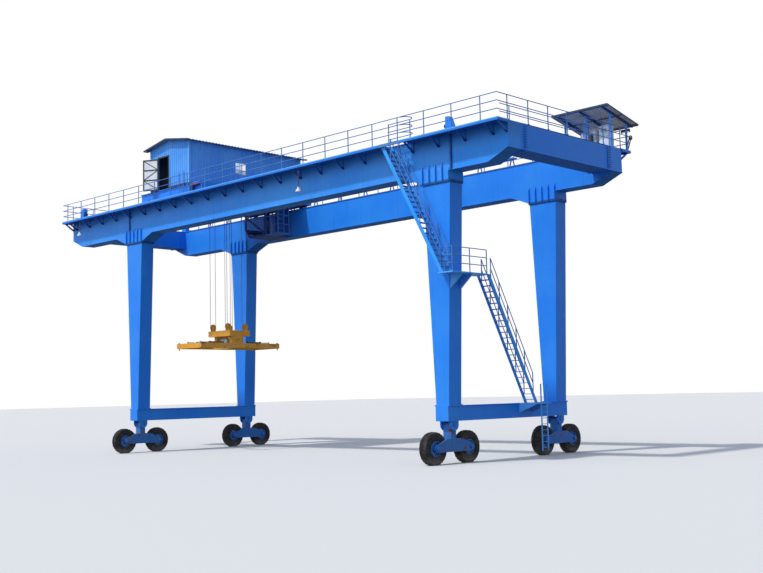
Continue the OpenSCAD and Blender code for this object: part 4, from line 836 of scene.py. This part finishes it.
def tyres(name):
    """Tyres with side walls in steps and two rows of slanting lugs."""
    p = Piece(name + "_dressed", "crane", TYRE)
    lugs, tread_depth, root_depth = 26, 0.026, 0.076
    for lo, hi in islands(name):
        radius, half = (hi.y - lo.y) / 2, (hi.x - lo.x) / 2
        mid = Vector(((lo.x + hi.x) / 2, (lo.y + hi.y) / 2, hi.z - radius))
        base, root = radius - tread_depth, radius - root_depth
        wall = [(0.351, 0.80), (0.37, 0.90), (0.41, 0.985), (0.425, 0.985), (0.43, 0.965), (0.47, 0.97),
                (0.475, 0.99), (0.49, 0.99), (0.495, 0.97), (base - 0.12, 0.998), (base - 0.05, 0.96),
                (base - 0.012, 0.88), (base, 0.74)]
        profile = [(r, -half * share) for r, share in wall]
        profile += [(r, -across) for r, across in reversed(profile)]
        p.turn(profile, mid, (1, 0, 0), 72, closed=True)
        stations = ((-0.02, 0.0, radius, 0.062), (0.45, 0.075, radius, 0.066),
                    (0.80, 0.12, radius - 0.014, 0.070), (0.955, 0.13, radius - 0.052, 0.070))
        for i, way in itertools.product(range(lugs), SIDES):
            turn = 2 * math.pi * (i + (0.5 if way > 0 else 0)) / lugs
            rings = []
            for across, lean, top, wide in stations:
                corners = ((root, -wide), (top, -0.86 * wide), (top, 0.86 * wide), (root, wide))
                rings.append([mid + Vector((way * half * across, r * math.cos(turn + lean + angle),
                                            r * math.sin(turn + lean + angle))) for r, angle in corners])
            p.loft(rings)
    for vert in p.bm.verts:
        vert.co.z = max(vert.co.z, 0.0)
    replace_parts(p.done(smooth=38), name)


def wheel_nuts():
    """Nuts on the wheel discs, caps on the axles and bolts round the pivots."""
    p = Piece("wheel_nuts", "crane", GEAR, ZINC)
    cap = [(0.088, 0), (0.088, 0.012), (0.07, 0.02), (0.04, 0.022)]
    disc_face, cap_face = 0.12, gear_half + 0.012
    for lo, hi in islands("right_tyres") + islands("left_tyres"):
        mid = Vector(((lo.x + hi.x) / 2, (lo.y + hi.y) / 2, hi.z - (hi.y - lo.y) / 2))
        for way in SIDES:
            p.use(0).turn(cap, mid + Vector((way * (gear_half - 0.0005), 0, 0)), (way, 0, 0), 28)
            for y, z in circle(12, 0.235):
                p.use(1).bolt(mid + Vector((way * disc_face, y, z)), (way, 0, 0), 0.017, 0.03)
            for y, z in circle(6, 0.066):
                p.bolt(mid + Vector((way * cap_face, y, z)), (way, 0, 0), 0.009, 0.008)
    p.done(smooth=30)


tyres("right_tyres")
tyres("left_tyres")
wheel_nuts()


# Machinery house


def roof_underside(x):
    """Height of the house roof's underside."""
    return roof_hi.z - roof_t - roof_slope * abs(x - trolley_x)


def house_cladding():
    """Upright ribs on the four walls, left out at the window and the doorway."""
    p = Piece("house_cladding", "trolley", WALL)
    pitch, half, height, first, last = 0.21, 0.0375, 0.022, 0.16, 0.1
    rib = [(-half, 0), (-half / 2, height), (half / 2, height), (half, 0)]
    foot, eave = floor_z + 0.02, roof_underside(house_hi.x) - 0.015
    for y in every(pitch, first - house_y, house_y - last):
        for x, out in ((house_lo.x, -1), (house_hi.x, 1)):
            stops = [foot, eave]
            if out > 0 and window_lo.y - 0.08 < y < window_hi.y + 0.08:
                stops = [foot, window_lo.z - 0.06, window_hi.z + 0.06, eave]
            for low, top in zip(stops[::2], stops[1::2]):
                p.prism([(x + out * v, y + u) for u, v in rib], "z", low, top)
    for x in every(pitch, house_lo.x + first, house_hi.x - last):
        for y, out in ((-house_y, -1), (house_y, 1)):
            over_door = out < 0 and door_left - 0.06 < x < door_right + 0.06
            low = door_head + 0.07 if over_door else foot
            p.prism([(x + u, y + out * v) for u, v in rib], "z", low, roof_underside(x) - 0.03)
    p.done()


def house_roof_sheets():
    """Ribbed roof sheets with a ridge cap, verge flashings and eave purlins."""
    p = Piece("house_roof_sheets", "trolley", ROOF, DARK, VERGE)
    y0, y1 = roof_lo.y + 0.012, roof_hi.y - 0.012
    eaves_and_ridge = (roof_lo.x + 0.002, trolley_x, roof_hi.x - 0.002)
    p.sweep(plate(ribbed(y0, y1, 0.24, 0.040), "x"),
            [moved(x, 0, roof_underside(x) + 0.006) for x in eaves_and_ridge])
    cap_w, cap_t = 0.22, 0.0045
    cap = [(trolley_x + side * cap_w, roof_underside(trolley_x + side * cap_w) + 0.049) for side in SIDES]
    cap.insert(1, (trolley_x, roof_hi.z - 0.005))
    p.prism(cap + [(x, z - cap_t) for x, z in reversed(cap)], "y", y0, y1)
    verge_top = 0.055
    for y, way in ((roof_lo.y, 1), (roof_hi.y, -1)):
        for a, b in ((roof_lo.x, trolley_x), (trolley_x, roof_hi.x)):
            for low, depth in ((-0.02, 0.004), (0.051, 0.12)):
                corners = ((a, low), (b, low), (b, verge_top), (a, verge_top))
                strip = [(x, roof_underside(x) + lift) for x, lift in corners]
                p.use(2).prism(strip, "y", y, y + way * depth)
    for x in (roof_lo.x + 0.07, roof_lo.x + 0.30, roof_hi.x - 0.07, roof_hi.x - 0.30):
        for y, wall_y in ((y0, -house_y - 0.001), (y1, house_y + 0.001)):
            under = roof_underside(x)
            p.use(1).box((x - 0.025, y, under - 0.045), (x + 0.025, wall_y, under - 0.006))
    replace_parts(p.done(smooth=20), "house_roof")


def house_trim():
    """Corner trims, base flashings, the dark frame of the doorway and the bolts of the floor's beams."""
    p = Piece("house_trim", "trolley", TRIM, DARK, BEAM)
    inner, outer, lap = 0.024, 0.028, -0.11
    corner = [(outer, outer), (outer, lap), (inner, lap), (inner, inner), (lap, inner), (lap, outer)]
    ends = ((house_lo.x, -1), (house_hi.x, 1))
    for (x, out), side in itertools.product(ends, SIDES):
        outline = [(x + out * u, side * (house_y + v)) for u, v in corner]
        p.prism(outline, "z", floor_z + 0.02, roof_underside(house_hi.x) - 0.02)
    p.use(1)
    bar, front = 0.07, -house_y
    foot = floor_z + 0.01
    for a, b, low in ((door_left - bar, door_left, foot), (door_right, door_right + bar, foot),
                      (door_left, door_right, door_head)):
        p.box((a, front - 0.03, low), (b, front + 0.0005, door_head + bar))
    sill = floor_z + 0.002
    for a, b, y, way in ((house_lo.x + 0.02, door_left - 0.075, front, -1),
                         (door_right + 0.075, house_hi.x - 0.02, front, -1),
                         (house_lo.x + 0.02, house_hi.x - 0.02, house_y, 1)):
        p.box((a, y + way * 0.024, sill), (b, y + way * 0.034, floor_z + 0.085))
    for x, out in ends:
        p.box((x + out * 0.024, -house_y, sill), (x + out * 0.032, house_y, floor_z + 0.075))
    p.use(2)
    for (x, way), y in itertools.product(((trolley_lo.x, -1), (trolley_hi.x, 1)),
                                         spread(0.25 - house_y, house_y - 0.25, 18)):
        p.bolt((x, y, floor_z - 0.15), (way, 0, 0), 0.012, 0.014)
    p.done()


def door_leaf():
    """The open door: a dark steel frame with three white panels and slanting braces.
    It is drawn along X with its hinges at the origin, and then swung open."""
    lo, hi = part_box("house_door")
    wide, thick, high, bar, half_brace = 1.02, 0.05, hi.z - lo.z, 0.075, 0.022
    swung = moved(hi.x - thick / 2, hi.y, lo.z) @ Matrix.Rotation(math.radians(-150), 4, "Z")
    bars = Piece("door_frame_bars", "trolley", DARK)
    panels = Piece("door_panels", "trolley", PANEL)
    for u in (0, wide - bar):
        bars.box((u, 0, 0), (u + bar, thick, high))
    rails = spread(0, high - bar, 4)
    for z in rails:
        bars.box((bar, 0.001, z), (wide - bar, thick - 0.001, z + bar))
    for (rail, top), (left, right) in zip(itertools.pairwise(rails),
                                          ((bar, wide - bar), (wide - bar, bar), (bar, wide - bar))):
        low = rail + bar
        panels.box((bar - 0.01, 0.019, low - 0.01), (wide - bar + 0.01, 0.031, top + 0.01))
        start, end = Vector((left, low)), Vector((right, top))
        side = (end - start).orthogonal().normalized() * half_brace
        brace = [start + side, start - side, end - side, end + side]
        for a, b in ((0.004, 0.0185), (0.0315, thick - 0.004)):
            bars.prism(brace, "y", a, b)
    for z in (0.25, high - 0.25):
        bars.rod((-0.008, 0.0095, z - 0.06), (-0.008, 0.0095, z + 0.06), 0.014, 12)
    grip = ((thick, 0), (thick + 0.05, 0), (thick + 0.05, 0.16), (thick, 0.16))
    bars.pipe([(wide - 0.04, out, high / 2 + rise) for out, rise in grip], 0.009, 8)
    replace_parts(bars.done(bevel=0.003, place=swung), "house_door")
    panels.done(place=swung)


def window():
    """The window in the right wall: a steel frame with a mullion, a transom and mirror panes in unlike tints
    that paint reflections: glare and sky above, dim grey painted shade below.
    """
    bars = Piece("window_bars", "trolley", TRIM)
    panes = Piece("window_panes", "trolley", PANE_PAINTED_GLARE, PANE_PAINTED_SKY, PANE_PAINTED_DIM)
    proud, bar, half_mullion, half_transom = 0.012, 0.05, 0.018, 0.015
    x0, x1 = window_lo.x + proud, window_hi.x + proud
    y0, y1, z0, z1 = window_lo.y, window_hi.y, window_lo.z, window_hi.z
    mullion, transom = y0 + (y1 - y0) * 0.45, z0 + (z1 - z0) * 0.38
    for a, b, c, d in ((y0, y0 + bar, z0, z1), (y1 - bar, y1, z0, z1), (y0 + bar, y1 - bar, z0, z0 + bar),
                       (y0 + bar, y1 - bar, z1 - bar, z1)):
        bars.box((x0, a, c), (x1, b, d))
    bars.box((x0 + 0.006, mullion - half_mullion, z0 + bar), (x1 - 0.006, mullion + half_mullion, z1 - bar))
    for a, b in ((y0 + bar, mullion - half_mullion), (mullion + half_mullion, y1 - bar)):
        bars.box((x0 + 0.008, a, transom - half_transom), (x1 - 0.008, b, transom + half_transom))
    middle, half_pane = (x0 + x1) / 2, 0.003
    left, right = (y0 + bar, mullion), (mullion, y1 - bar)
    upper, lower = (transom, z1 - bar), (z0 + bar, transom)
    # Upper left the painted sky reflection, upper right the painted glare, below the dim grey painted shade.
    for mat, (a, b), (c, d) in ((1, left, upper), (0, right, upper), (2, left, lower), (2, right, lower)):
        panes.use(mat).box((middle - half_pane, a + 0.019, c + 0.016),
                           (middle + half_pane, b - 0.019, d - 0.016))
    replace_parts(bars.done(bevel=0.003), "house_window")
    panes.done()


def drive_bolts():
    """Bolts on the covers of the travel drives."""
    p = Piece("drive_bolts", "trolley", BOLT)
    for lo, hi in islands("trolley_drives"):
        y, way = (lo.y, -1) if lo.y + hi.y < 0 else (hi.y, 1)
        for i, j in itertools.product(range(4), range(3)):
            p.bolt((lo.x + 0.035 + 0.069 * j, y, lo.z + 0.05 + 0.12 * i), (0, way, 0), 0.010, 0.012)
    p.done()


house_cladding()
house_roof_sheets()
house_trim()
door_leaf()
window()
drive_bolts()


# Canopy and cabinets


def canopy():
    """The canopy's ribbed sheet with a folded edge all round, over three purlins."""
    lo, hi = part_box("canopy_roof")
    near = [vert.co.z for vert in nodes["canopy_roof"].data.vertices if vert.co.y < lo.y + 0.01]
    thick = max(near) - min(near)
    fall = (hi.z - lo.z - thick) / (hi.y - lo.y)
    fold_t, fold_down, fold_up = 0.005, 0.045, thick * 0.9

    def under(y):
        return min(near) - fall * (y - lo.y)

    p = Piece("canopy_sheets", "crane", LINING, VERGE, DARK)
    p.sweep(plate(ribbed(lo.x + 0.006, hi.x - 0.006, 0.2, 0.018), "y"),
            [moved(0, y, under(y) + 0.004) for y in (hi.y - 0.002, lo.y + 0.002)])
    p.use(1)
    for y, way in ((lo.y, 1), (hi.y, -1)):
        p.box((lo.x, y, under(y) - fold_down), (hi.x, y + way * fold_t, under(y) + fold_up))
    fold = [(lo.y, under(lo.y) - fold_down), (hi.y, under(hi.y) - fold_down),
            (hi.y, under(hi.y) + fold_up), (lo.y, under(lo.y) + fold_up)]
    for x, way in ((lo.x, 1), (hi.x, -1)):
        p.prism(fold, "x", x, x + way * fold_t)
    p.use(2)
    half = 0.02
    for y in spread(lo.y + 0.12, hi.y - 0.12, 3):
        p.box((lo.x + 0.02, y - half, under(y) - 0.030), (hi.x - 0.02, y + half, under(y + half) - 0.001))
    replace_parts(p.done(smooth=20), "canopy_roof")


def cabinet_fittings():
    """Doors, hinges, handles, louvres, plinths and drip caps on the cabinets, with two boxes beside them."""
    p = Piece("cabinet_fittings", "crane", GREY, DARK, WHITE)
    door_t, gap = 0.014, 0.01
    grip = ((door_t, 0), (0.04, 0.0), (0.04, 0.13), (door_t, 0.13))
    louvre = ((door_t, 0), (0.026, -0.016), (door_t, -0.012))
    for lo, hi in islands("electric_cabinets"):
        tall = hi.x - lo.x < 0.7
        doors = 1 if tall else 2
        edges = spread(lo.x + 0.02, hi.x - 0.03, doors + 1)
        for (y, way), (left, x1) in itertools.product(((lo.y, -1), (hi.y, 1)), itertools.pairwise(edges)):
            x0 = left + gap
            p.use(0).box((x0, y, lo.z + 0.10), (x1, y + way * door_t, hi.z - 0.04))
            p.use(1).pipe([(x1 - 0.05, y + way * out, lo.z + 0.5 + rise) for out, rise in grip], 0.007, 8)
            for z in spread(hi.z - 0.14, hi.z - 0.28, 5):
                p.prism([(y + way * out, z + rise) for out, rise in louvre], "x", x0 + 0.08, x1 - 0.08)
            for z in (lo.z + 0.2, hi.z - 0.16):
                p.rod((x0 - 0.006, y + way * 0.010, z), (x0 - 0.006, y + way * 0.010, z + 0.07), 0.007, 8)
        cap = [(lo.x - 0.02, 0), (hi.x + 0.02, 0), (hi.x + 0.02, 0.018), ((lo.x + hi.x) / 2, 0.035),
               (lo.x - 0.02, 0.018)]
        p.use(0).prism([(x, hi.z + rise) for x, rise in cap], "y", lo.y - 0.03, hi.y + 0.03)
        p.use(1).box((lo.x - 0.002, lo.y - 0.002, lo.z + 0.0005), (hi.x + 0.002, hi.y + 0.002, lo.z + 0.075))
        if not tall:
            p.use(2).box((lo.x + 0.06, lo.y - 0.16, hi.z - 0.42), (lo.x + 0.34, lo.y - 0.027, hi.z - 0.06))
            p.use(1).box((lo.x + 0.42, lo.y - 0.19, hi.z - 0.52), (lo.x + 0.66, lo.y - 0.027, hi.z - 0.18))
    p.done(bevel=0.002)


def guide():
    """The cable guide: two cheeks with an open grooved ring on spokes, and a roller on a post beside it."""
    p = Piece("cable_guide_ring", "crane", DARK, ZINC)
    lo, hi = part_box("cable_guide")
    r, inside, outside = 0.12, 0.046, 0.058
    x, y, z = (lo.x + hi.x) / 2, hi.y - r, hi.z - r
    foot = lo.y + 0.001
    cheek = [(foot, lo.z), (foot, deck), (y - 0.035, z + 0.02), (y - 0.01, z + 0.034), (y + 0.02, z + 0.03),
             (y + 0.033, z), (foot + 0.05, lo.z)]
    for side in SIDES:
        p.use(0).prism(cheek, "x", x + side * inside, x + side * outside)
        p.use(1).bolt((x + side * outside, y, z), (side, 0, 0), 0.012, 0.002)
    groove = [(0.026, -0.02), (0.016, -0.036), (0, -0.04), (0, -0.03), (0.014, -0.012)]
    groove += [(depth, -across) for depth, across in reversed(groove)]
    p.use(0).turn([(r - depth, across) for depth, across in groove], (x, y, z), (1, 0, 0), 40, closed=True)
    p.turn([(0.022, -0.045), (0.028, -0.04), (0.028, 0.04), (0.022, 0.045)], (x, y, z), (1, 0, 0), 20)
    for dy, dz in circle(6, r - 0.02, 0.3)[:3]:
        p.rod((x, y - dy, z - dz), (x, y + dy, z + dz), 0.006, 8)
    p.box((x - inside, foot, lo.z + 0.01), (x + inside, foot + 0.012, deck - 0.005))
    post_y, top, half_yoke = foot + 0.05, z + 0.30, 0.25
    p.pipe([(x, post_y, lo.z + 0.02), (x, post_y, top - 0.14), (x, post_y + 0.02, top - 0.11)], 0.018, 12)
    p.box((x - half_yoke, post_y, top - 0.115), (x + half_yoke, post_y + 0.04, top - 0.10))
    for side in SIDES:
        p.box((x + side * half_yoke, post_y - 0.02, top - 0.115),
              (x + side * (half_yoke - 0.01), post_y + 0.06, top + 0.02))
    roller = [(0.055, -0.235), (0.075, -0.22), (0.07, -0.1), (0.07, 0.1), (0.075, 0.22), (0.055, 0.235)]
    p.turn(roller, (x, post_y + 0.02, top), (1, 0, 0), 28)
    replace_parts(p.done(smooth=35), "cable_guide")


canopy()
cabinet_fittings()
guide()


# Cab, hoist and trolley


def cushion(name, half_u, half_v, corner, along, start, depth, crown):
    """A crowned cushion: a rounded outline that grows from start through its depth. Crown gives pairs of
    its width, as a share, and how far it has come. A smaller corner is a squarer one."""
    outline = [(math.copysign(abs(c) ** corner, c) * half_u, math.copysign(abs(s) ** corner, s) * half_v)
               for c, s in circle(40)]
    p = Piece(name, "trolley", CLOTH)
    p.sweep(plate(outline, along), [moved(*(Vector(start) + Vector(depth) * level)) @ Matrix.Scale(share, 4)
                                    for share, level in crown])
    p.done(smooth=50)


def seat():
    """The operator's seat: a pedestal, a sprung pan, arm rests and two cushions."""
    lo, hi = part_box("cab_seat")
    cx, cy = (lo.x + hi.x) / 2, (lo.y + hi.y) / 2
    pan, arm_z = lo.z + 0.35, lo.z + 0.66
    base = Piece("seat_base", "trolley", DARK)
    base.turn([(0.17, 0.0), (0.17, 0.012), (0.06, 0.03), (0.055, 0.30), (0.11, 0.33), (0.11, 0.35)],
              (cx, cy, lo.z + 0.0005), steps=28)
    base.box((lo.x + 0.05, lo.y + 0.05, pan), (hi.x - 0.06, hi.y - 0.05, pan + 0.035))
    back = ((0.045, 0.37), (0.03, 0.5), (0.025, 0.95))
    base.pipe([(hi.x - forward, cy, lo.z + rise) for forward, rise in back], 0.018, 10)
    for y in (lo.y + 0.022, hi.y - 0.022):
        base.pipe([(hi.x - 0.06, y, pan + 0.02), (hi.x - 0.06, y, arm_z), (cx - 0.06, y, arm_z)], 0.014, 10)
    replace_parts(base.done(smooth=40), "cab_seat")
    cushion("seat_cushion", 0.195, 0.22, 0.42, "z", (cx - 0.045, cy, pan + 0.036), (0, 0, 0.114),
            ((0.80, 0.0), (0.95, 0.06), (1.0, 0.22), (1.0, 0.55), (0.975, 0.72), (0.985, 0.76), (0.93, 0.90),
             (0.72, 0.98), (0.35, 1.0)))
    cushion("seat_back", 0.22, 0.27, 0.4, "x", (hi.x - 0.045, cy, lo.z + 0.80), (-0.095, 0, 0),
            ((0.75, 0.0), (0.95, 0.12), (1.0, 0.35), (1.0, 0.65), (0.94, 0.88), (0.7, 0.98), (0.35, 1.0)))


def cab_trim():
    """Rubber seals round the panes, a rain gutter, a sliding rail for the door and its handle."""
    p = Piece("cab_trim", "trolley", BLACK, TRIM, ZINC)
    top, inset, half = cab_hi.z, 0.11, 0.014
    left, right, head, foot = cab_lo.x + inset, cab_right - inset, top - inset, cab_lo.z + inset
    corners = ((left, cab_lo.z + 0.60), (left, head), (right, head), (right, foot), (cab_lo.x + 0.48, foot))
    pane = [Vector(corner) for corner in corners]
    for y, out in ((cab_lo.y, -1), (cab_hi.y, 1)):
        for a, b in itertools.pairwise(pane + pane[:1]):
            way = (b - a).normalized() * half
            side = way.orthogonal()
            seal = [a - way + side, b + way + side, b + way - side, a - way - side]
            p.use(0).prism(seal, "y", y, y + out * 0.006)
        p.use(1).box((cab_lo.x, y, top - 0.035), (cab_right, y + out * 0.03, top - 0.005))
    p.use(2).box((cab_right + 0.036, cab_lo.y + 0.12, top - 0.115),
                 (cab_right + 0.05, cab_hi.y - 0.32, top - 0.075))
    grip = ((0.035, -0.95), (0.075, -0.95), (0.075, -0.75), (0.035, -0.75))
    p.pipe([(cab_right + out, cab_lo.y + 0.92, top + rise) for out, rise in grip], 0.009, 8)
    p.done()


def spreader_fittings():
    """Boxes, cylinders, bolts and corner guides of the spreader."""
    p = Piece("spreader_fittings", "trolley", DARK, ZINC, GREY)
    lo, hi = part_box("spreader")
    top = lo.z + 0.41
    cylinder_z, rod_end = top + 0.07, hi.y - 0.35
    lock_x, lock_y = 1.1295, 2.9265
    for sx, sy in itertools.product(SIDES, SIDES):
        x = trolley_x + sx * 0.62
        p.use(0).rod((x, sy * 0.9, cylinder_z), (x, sy * 2.0, cylinder_z), 0.05, 20)
        for y in (0.95, 1.95):
            p.box((x - 0.07, sy * y - 0.03, top), (x + 0.07, sy * y + 0.03, top + 0.135))
        p.use(1).rod((x, sy * 1.98, cylinder_z), (x, sy * rod_end, cylinder_z), 0.026, 16)
        p.box((x - 0.05, sy * (rod_end - 0.01), top), (x + 0.05, sy * (rod_end - 0.05), top + 0.12))
        for z in spread(lo.z + 0.18, lo.z + 0.34, 3):
            p.bolt((trolley_x + sx * (hi.x - trolley_x - 0.09), sy * hi.y, z), (0, sy, 0), 0.014, 0.015)
            p.bolt((trolley_x + sx * (hi.x - trolley_x), sy * (hi.y - 0.10), z), (sx, 0, 0), 0.014, 0.015)
        p.use(0).turn([(0.075, 0), (0.075, 0.02), (0.05, 0.03), (0.05, 0.05)],
                      (trolley_x + sx * lock_x, sy * lock_y, top), steps=20)
    p.use(2).box((trolley_x - 0.30, -0.42, top + 0.001), (trolley_x + 0.30, 0.42, top + 0.30))
    p.use(0).box((trolley_x - 0.32, -0.44, top + 0.30), (trolley_x + 0.32, 0.44, top + 0.325))
    p.done(smooth=35)


seat()
cab_trim()
spreader_fittings()


# The stage


def stage():
    """The pale floor. Its colour for the camera differs from the one it throws on the crane."""
    look = Look("floor", shine=POLISHED)
    seen = look.mix(look.seen_directly(), (0.16, 0.155, 0.15), (0.62, 0.62, 0.61))
    mesh = bpy.data.meshes.new("floor")
    mesh.materials.append(look.finish(seen, 0.9))
    ground = bmesh.new()
    bmesh.ops.create_grid(ground, x_segments=1, y_segments=1, size=400)
    ground.to_mesh(mesh)
    ground.free()
    floor = bpy.data.objects.new("floor", mesh)
    bpy.context.scene.collection.objects.link(floor)


def lamps():
    """A sun, a wide soft lamp for the light from the open side, and the sky."""
    for name, energy, spread_deg, color, way in (("sun", 2.5, 3, (1.0, 0.97, 0.92), (0.26, 1.0, -1.6)),
                                                 ("fill", 1.45, 110, (0.86, 0.92, 1.0), (0.1, 1.0, -0.35))):
        light = bpy.data.lights.new(name, "SUN")
        light.energy = energy
        light.angle = math.radians(spread_deg)
        light.color = color
        lamp = bpy.data.objects.new(name, light)
        lamp.rotation_euler = Vector(way).to_track_quat("-Z", "Y").to_euler()
        lamp.visible_glossy = name == "sun"
        bpy.context.scene.collection.objects.link(lamp)
    world = bpy.data.worlds.new("sky")
    bpy.context.scene.world = world
    world.use_nodes = True
    wiring = Wiring(world.node_tree)
    sky, seen = (wiring.add("ShaderNodeBackground", sockets={"Color": color, "Strength": strength})
                 for color, strength in (((0.62, 0.74, 1.0), 0.5), ((1.0, 1.0, 1.0), 1.0)))
    surface = wiring.add("ShaderNodeMixShader", sockets={0: wiring.seen_directly(), 1: sky, 2: seen})
    wiring.plug(surface, world.node_tree.nodes["World Output"].inputs["Surface"])


def camera():
    """The camera that was fitted to the photograph."""
    place = (46.926, -42.027, 3.260)
    yaw, pitch, roll = (math.radians(a) for a in (44.37262, 5.53689, -1.33805))
    focal_px, photo_width_px, sensor_mm = 1098.109, 763, 36
    data = bpy.data.cameras.new("camera")
    data.sensor_width = sensor_mm
    data.lens = sensor_mm * focal_px / photo_width_px
    data.clip_end = 1000
    cam = bpy.data.objects.new("camera", data)
    cam.matrix_world = (moved(*place) @ Matrix.Rotation(yaw, 4, "Z")
                        @ Matrix.Rotation(math.pi / 2 + pitch, 4, "X") @ Matrix.Rotation(roll, 4, "Z"))
    bpy.context.scene.collection.objects.link(cam)
    bpy.context.scene.camera = cam


stage()
lamps()
camera()
bpy.context.scene.view_settings.view_transform = "Standard"
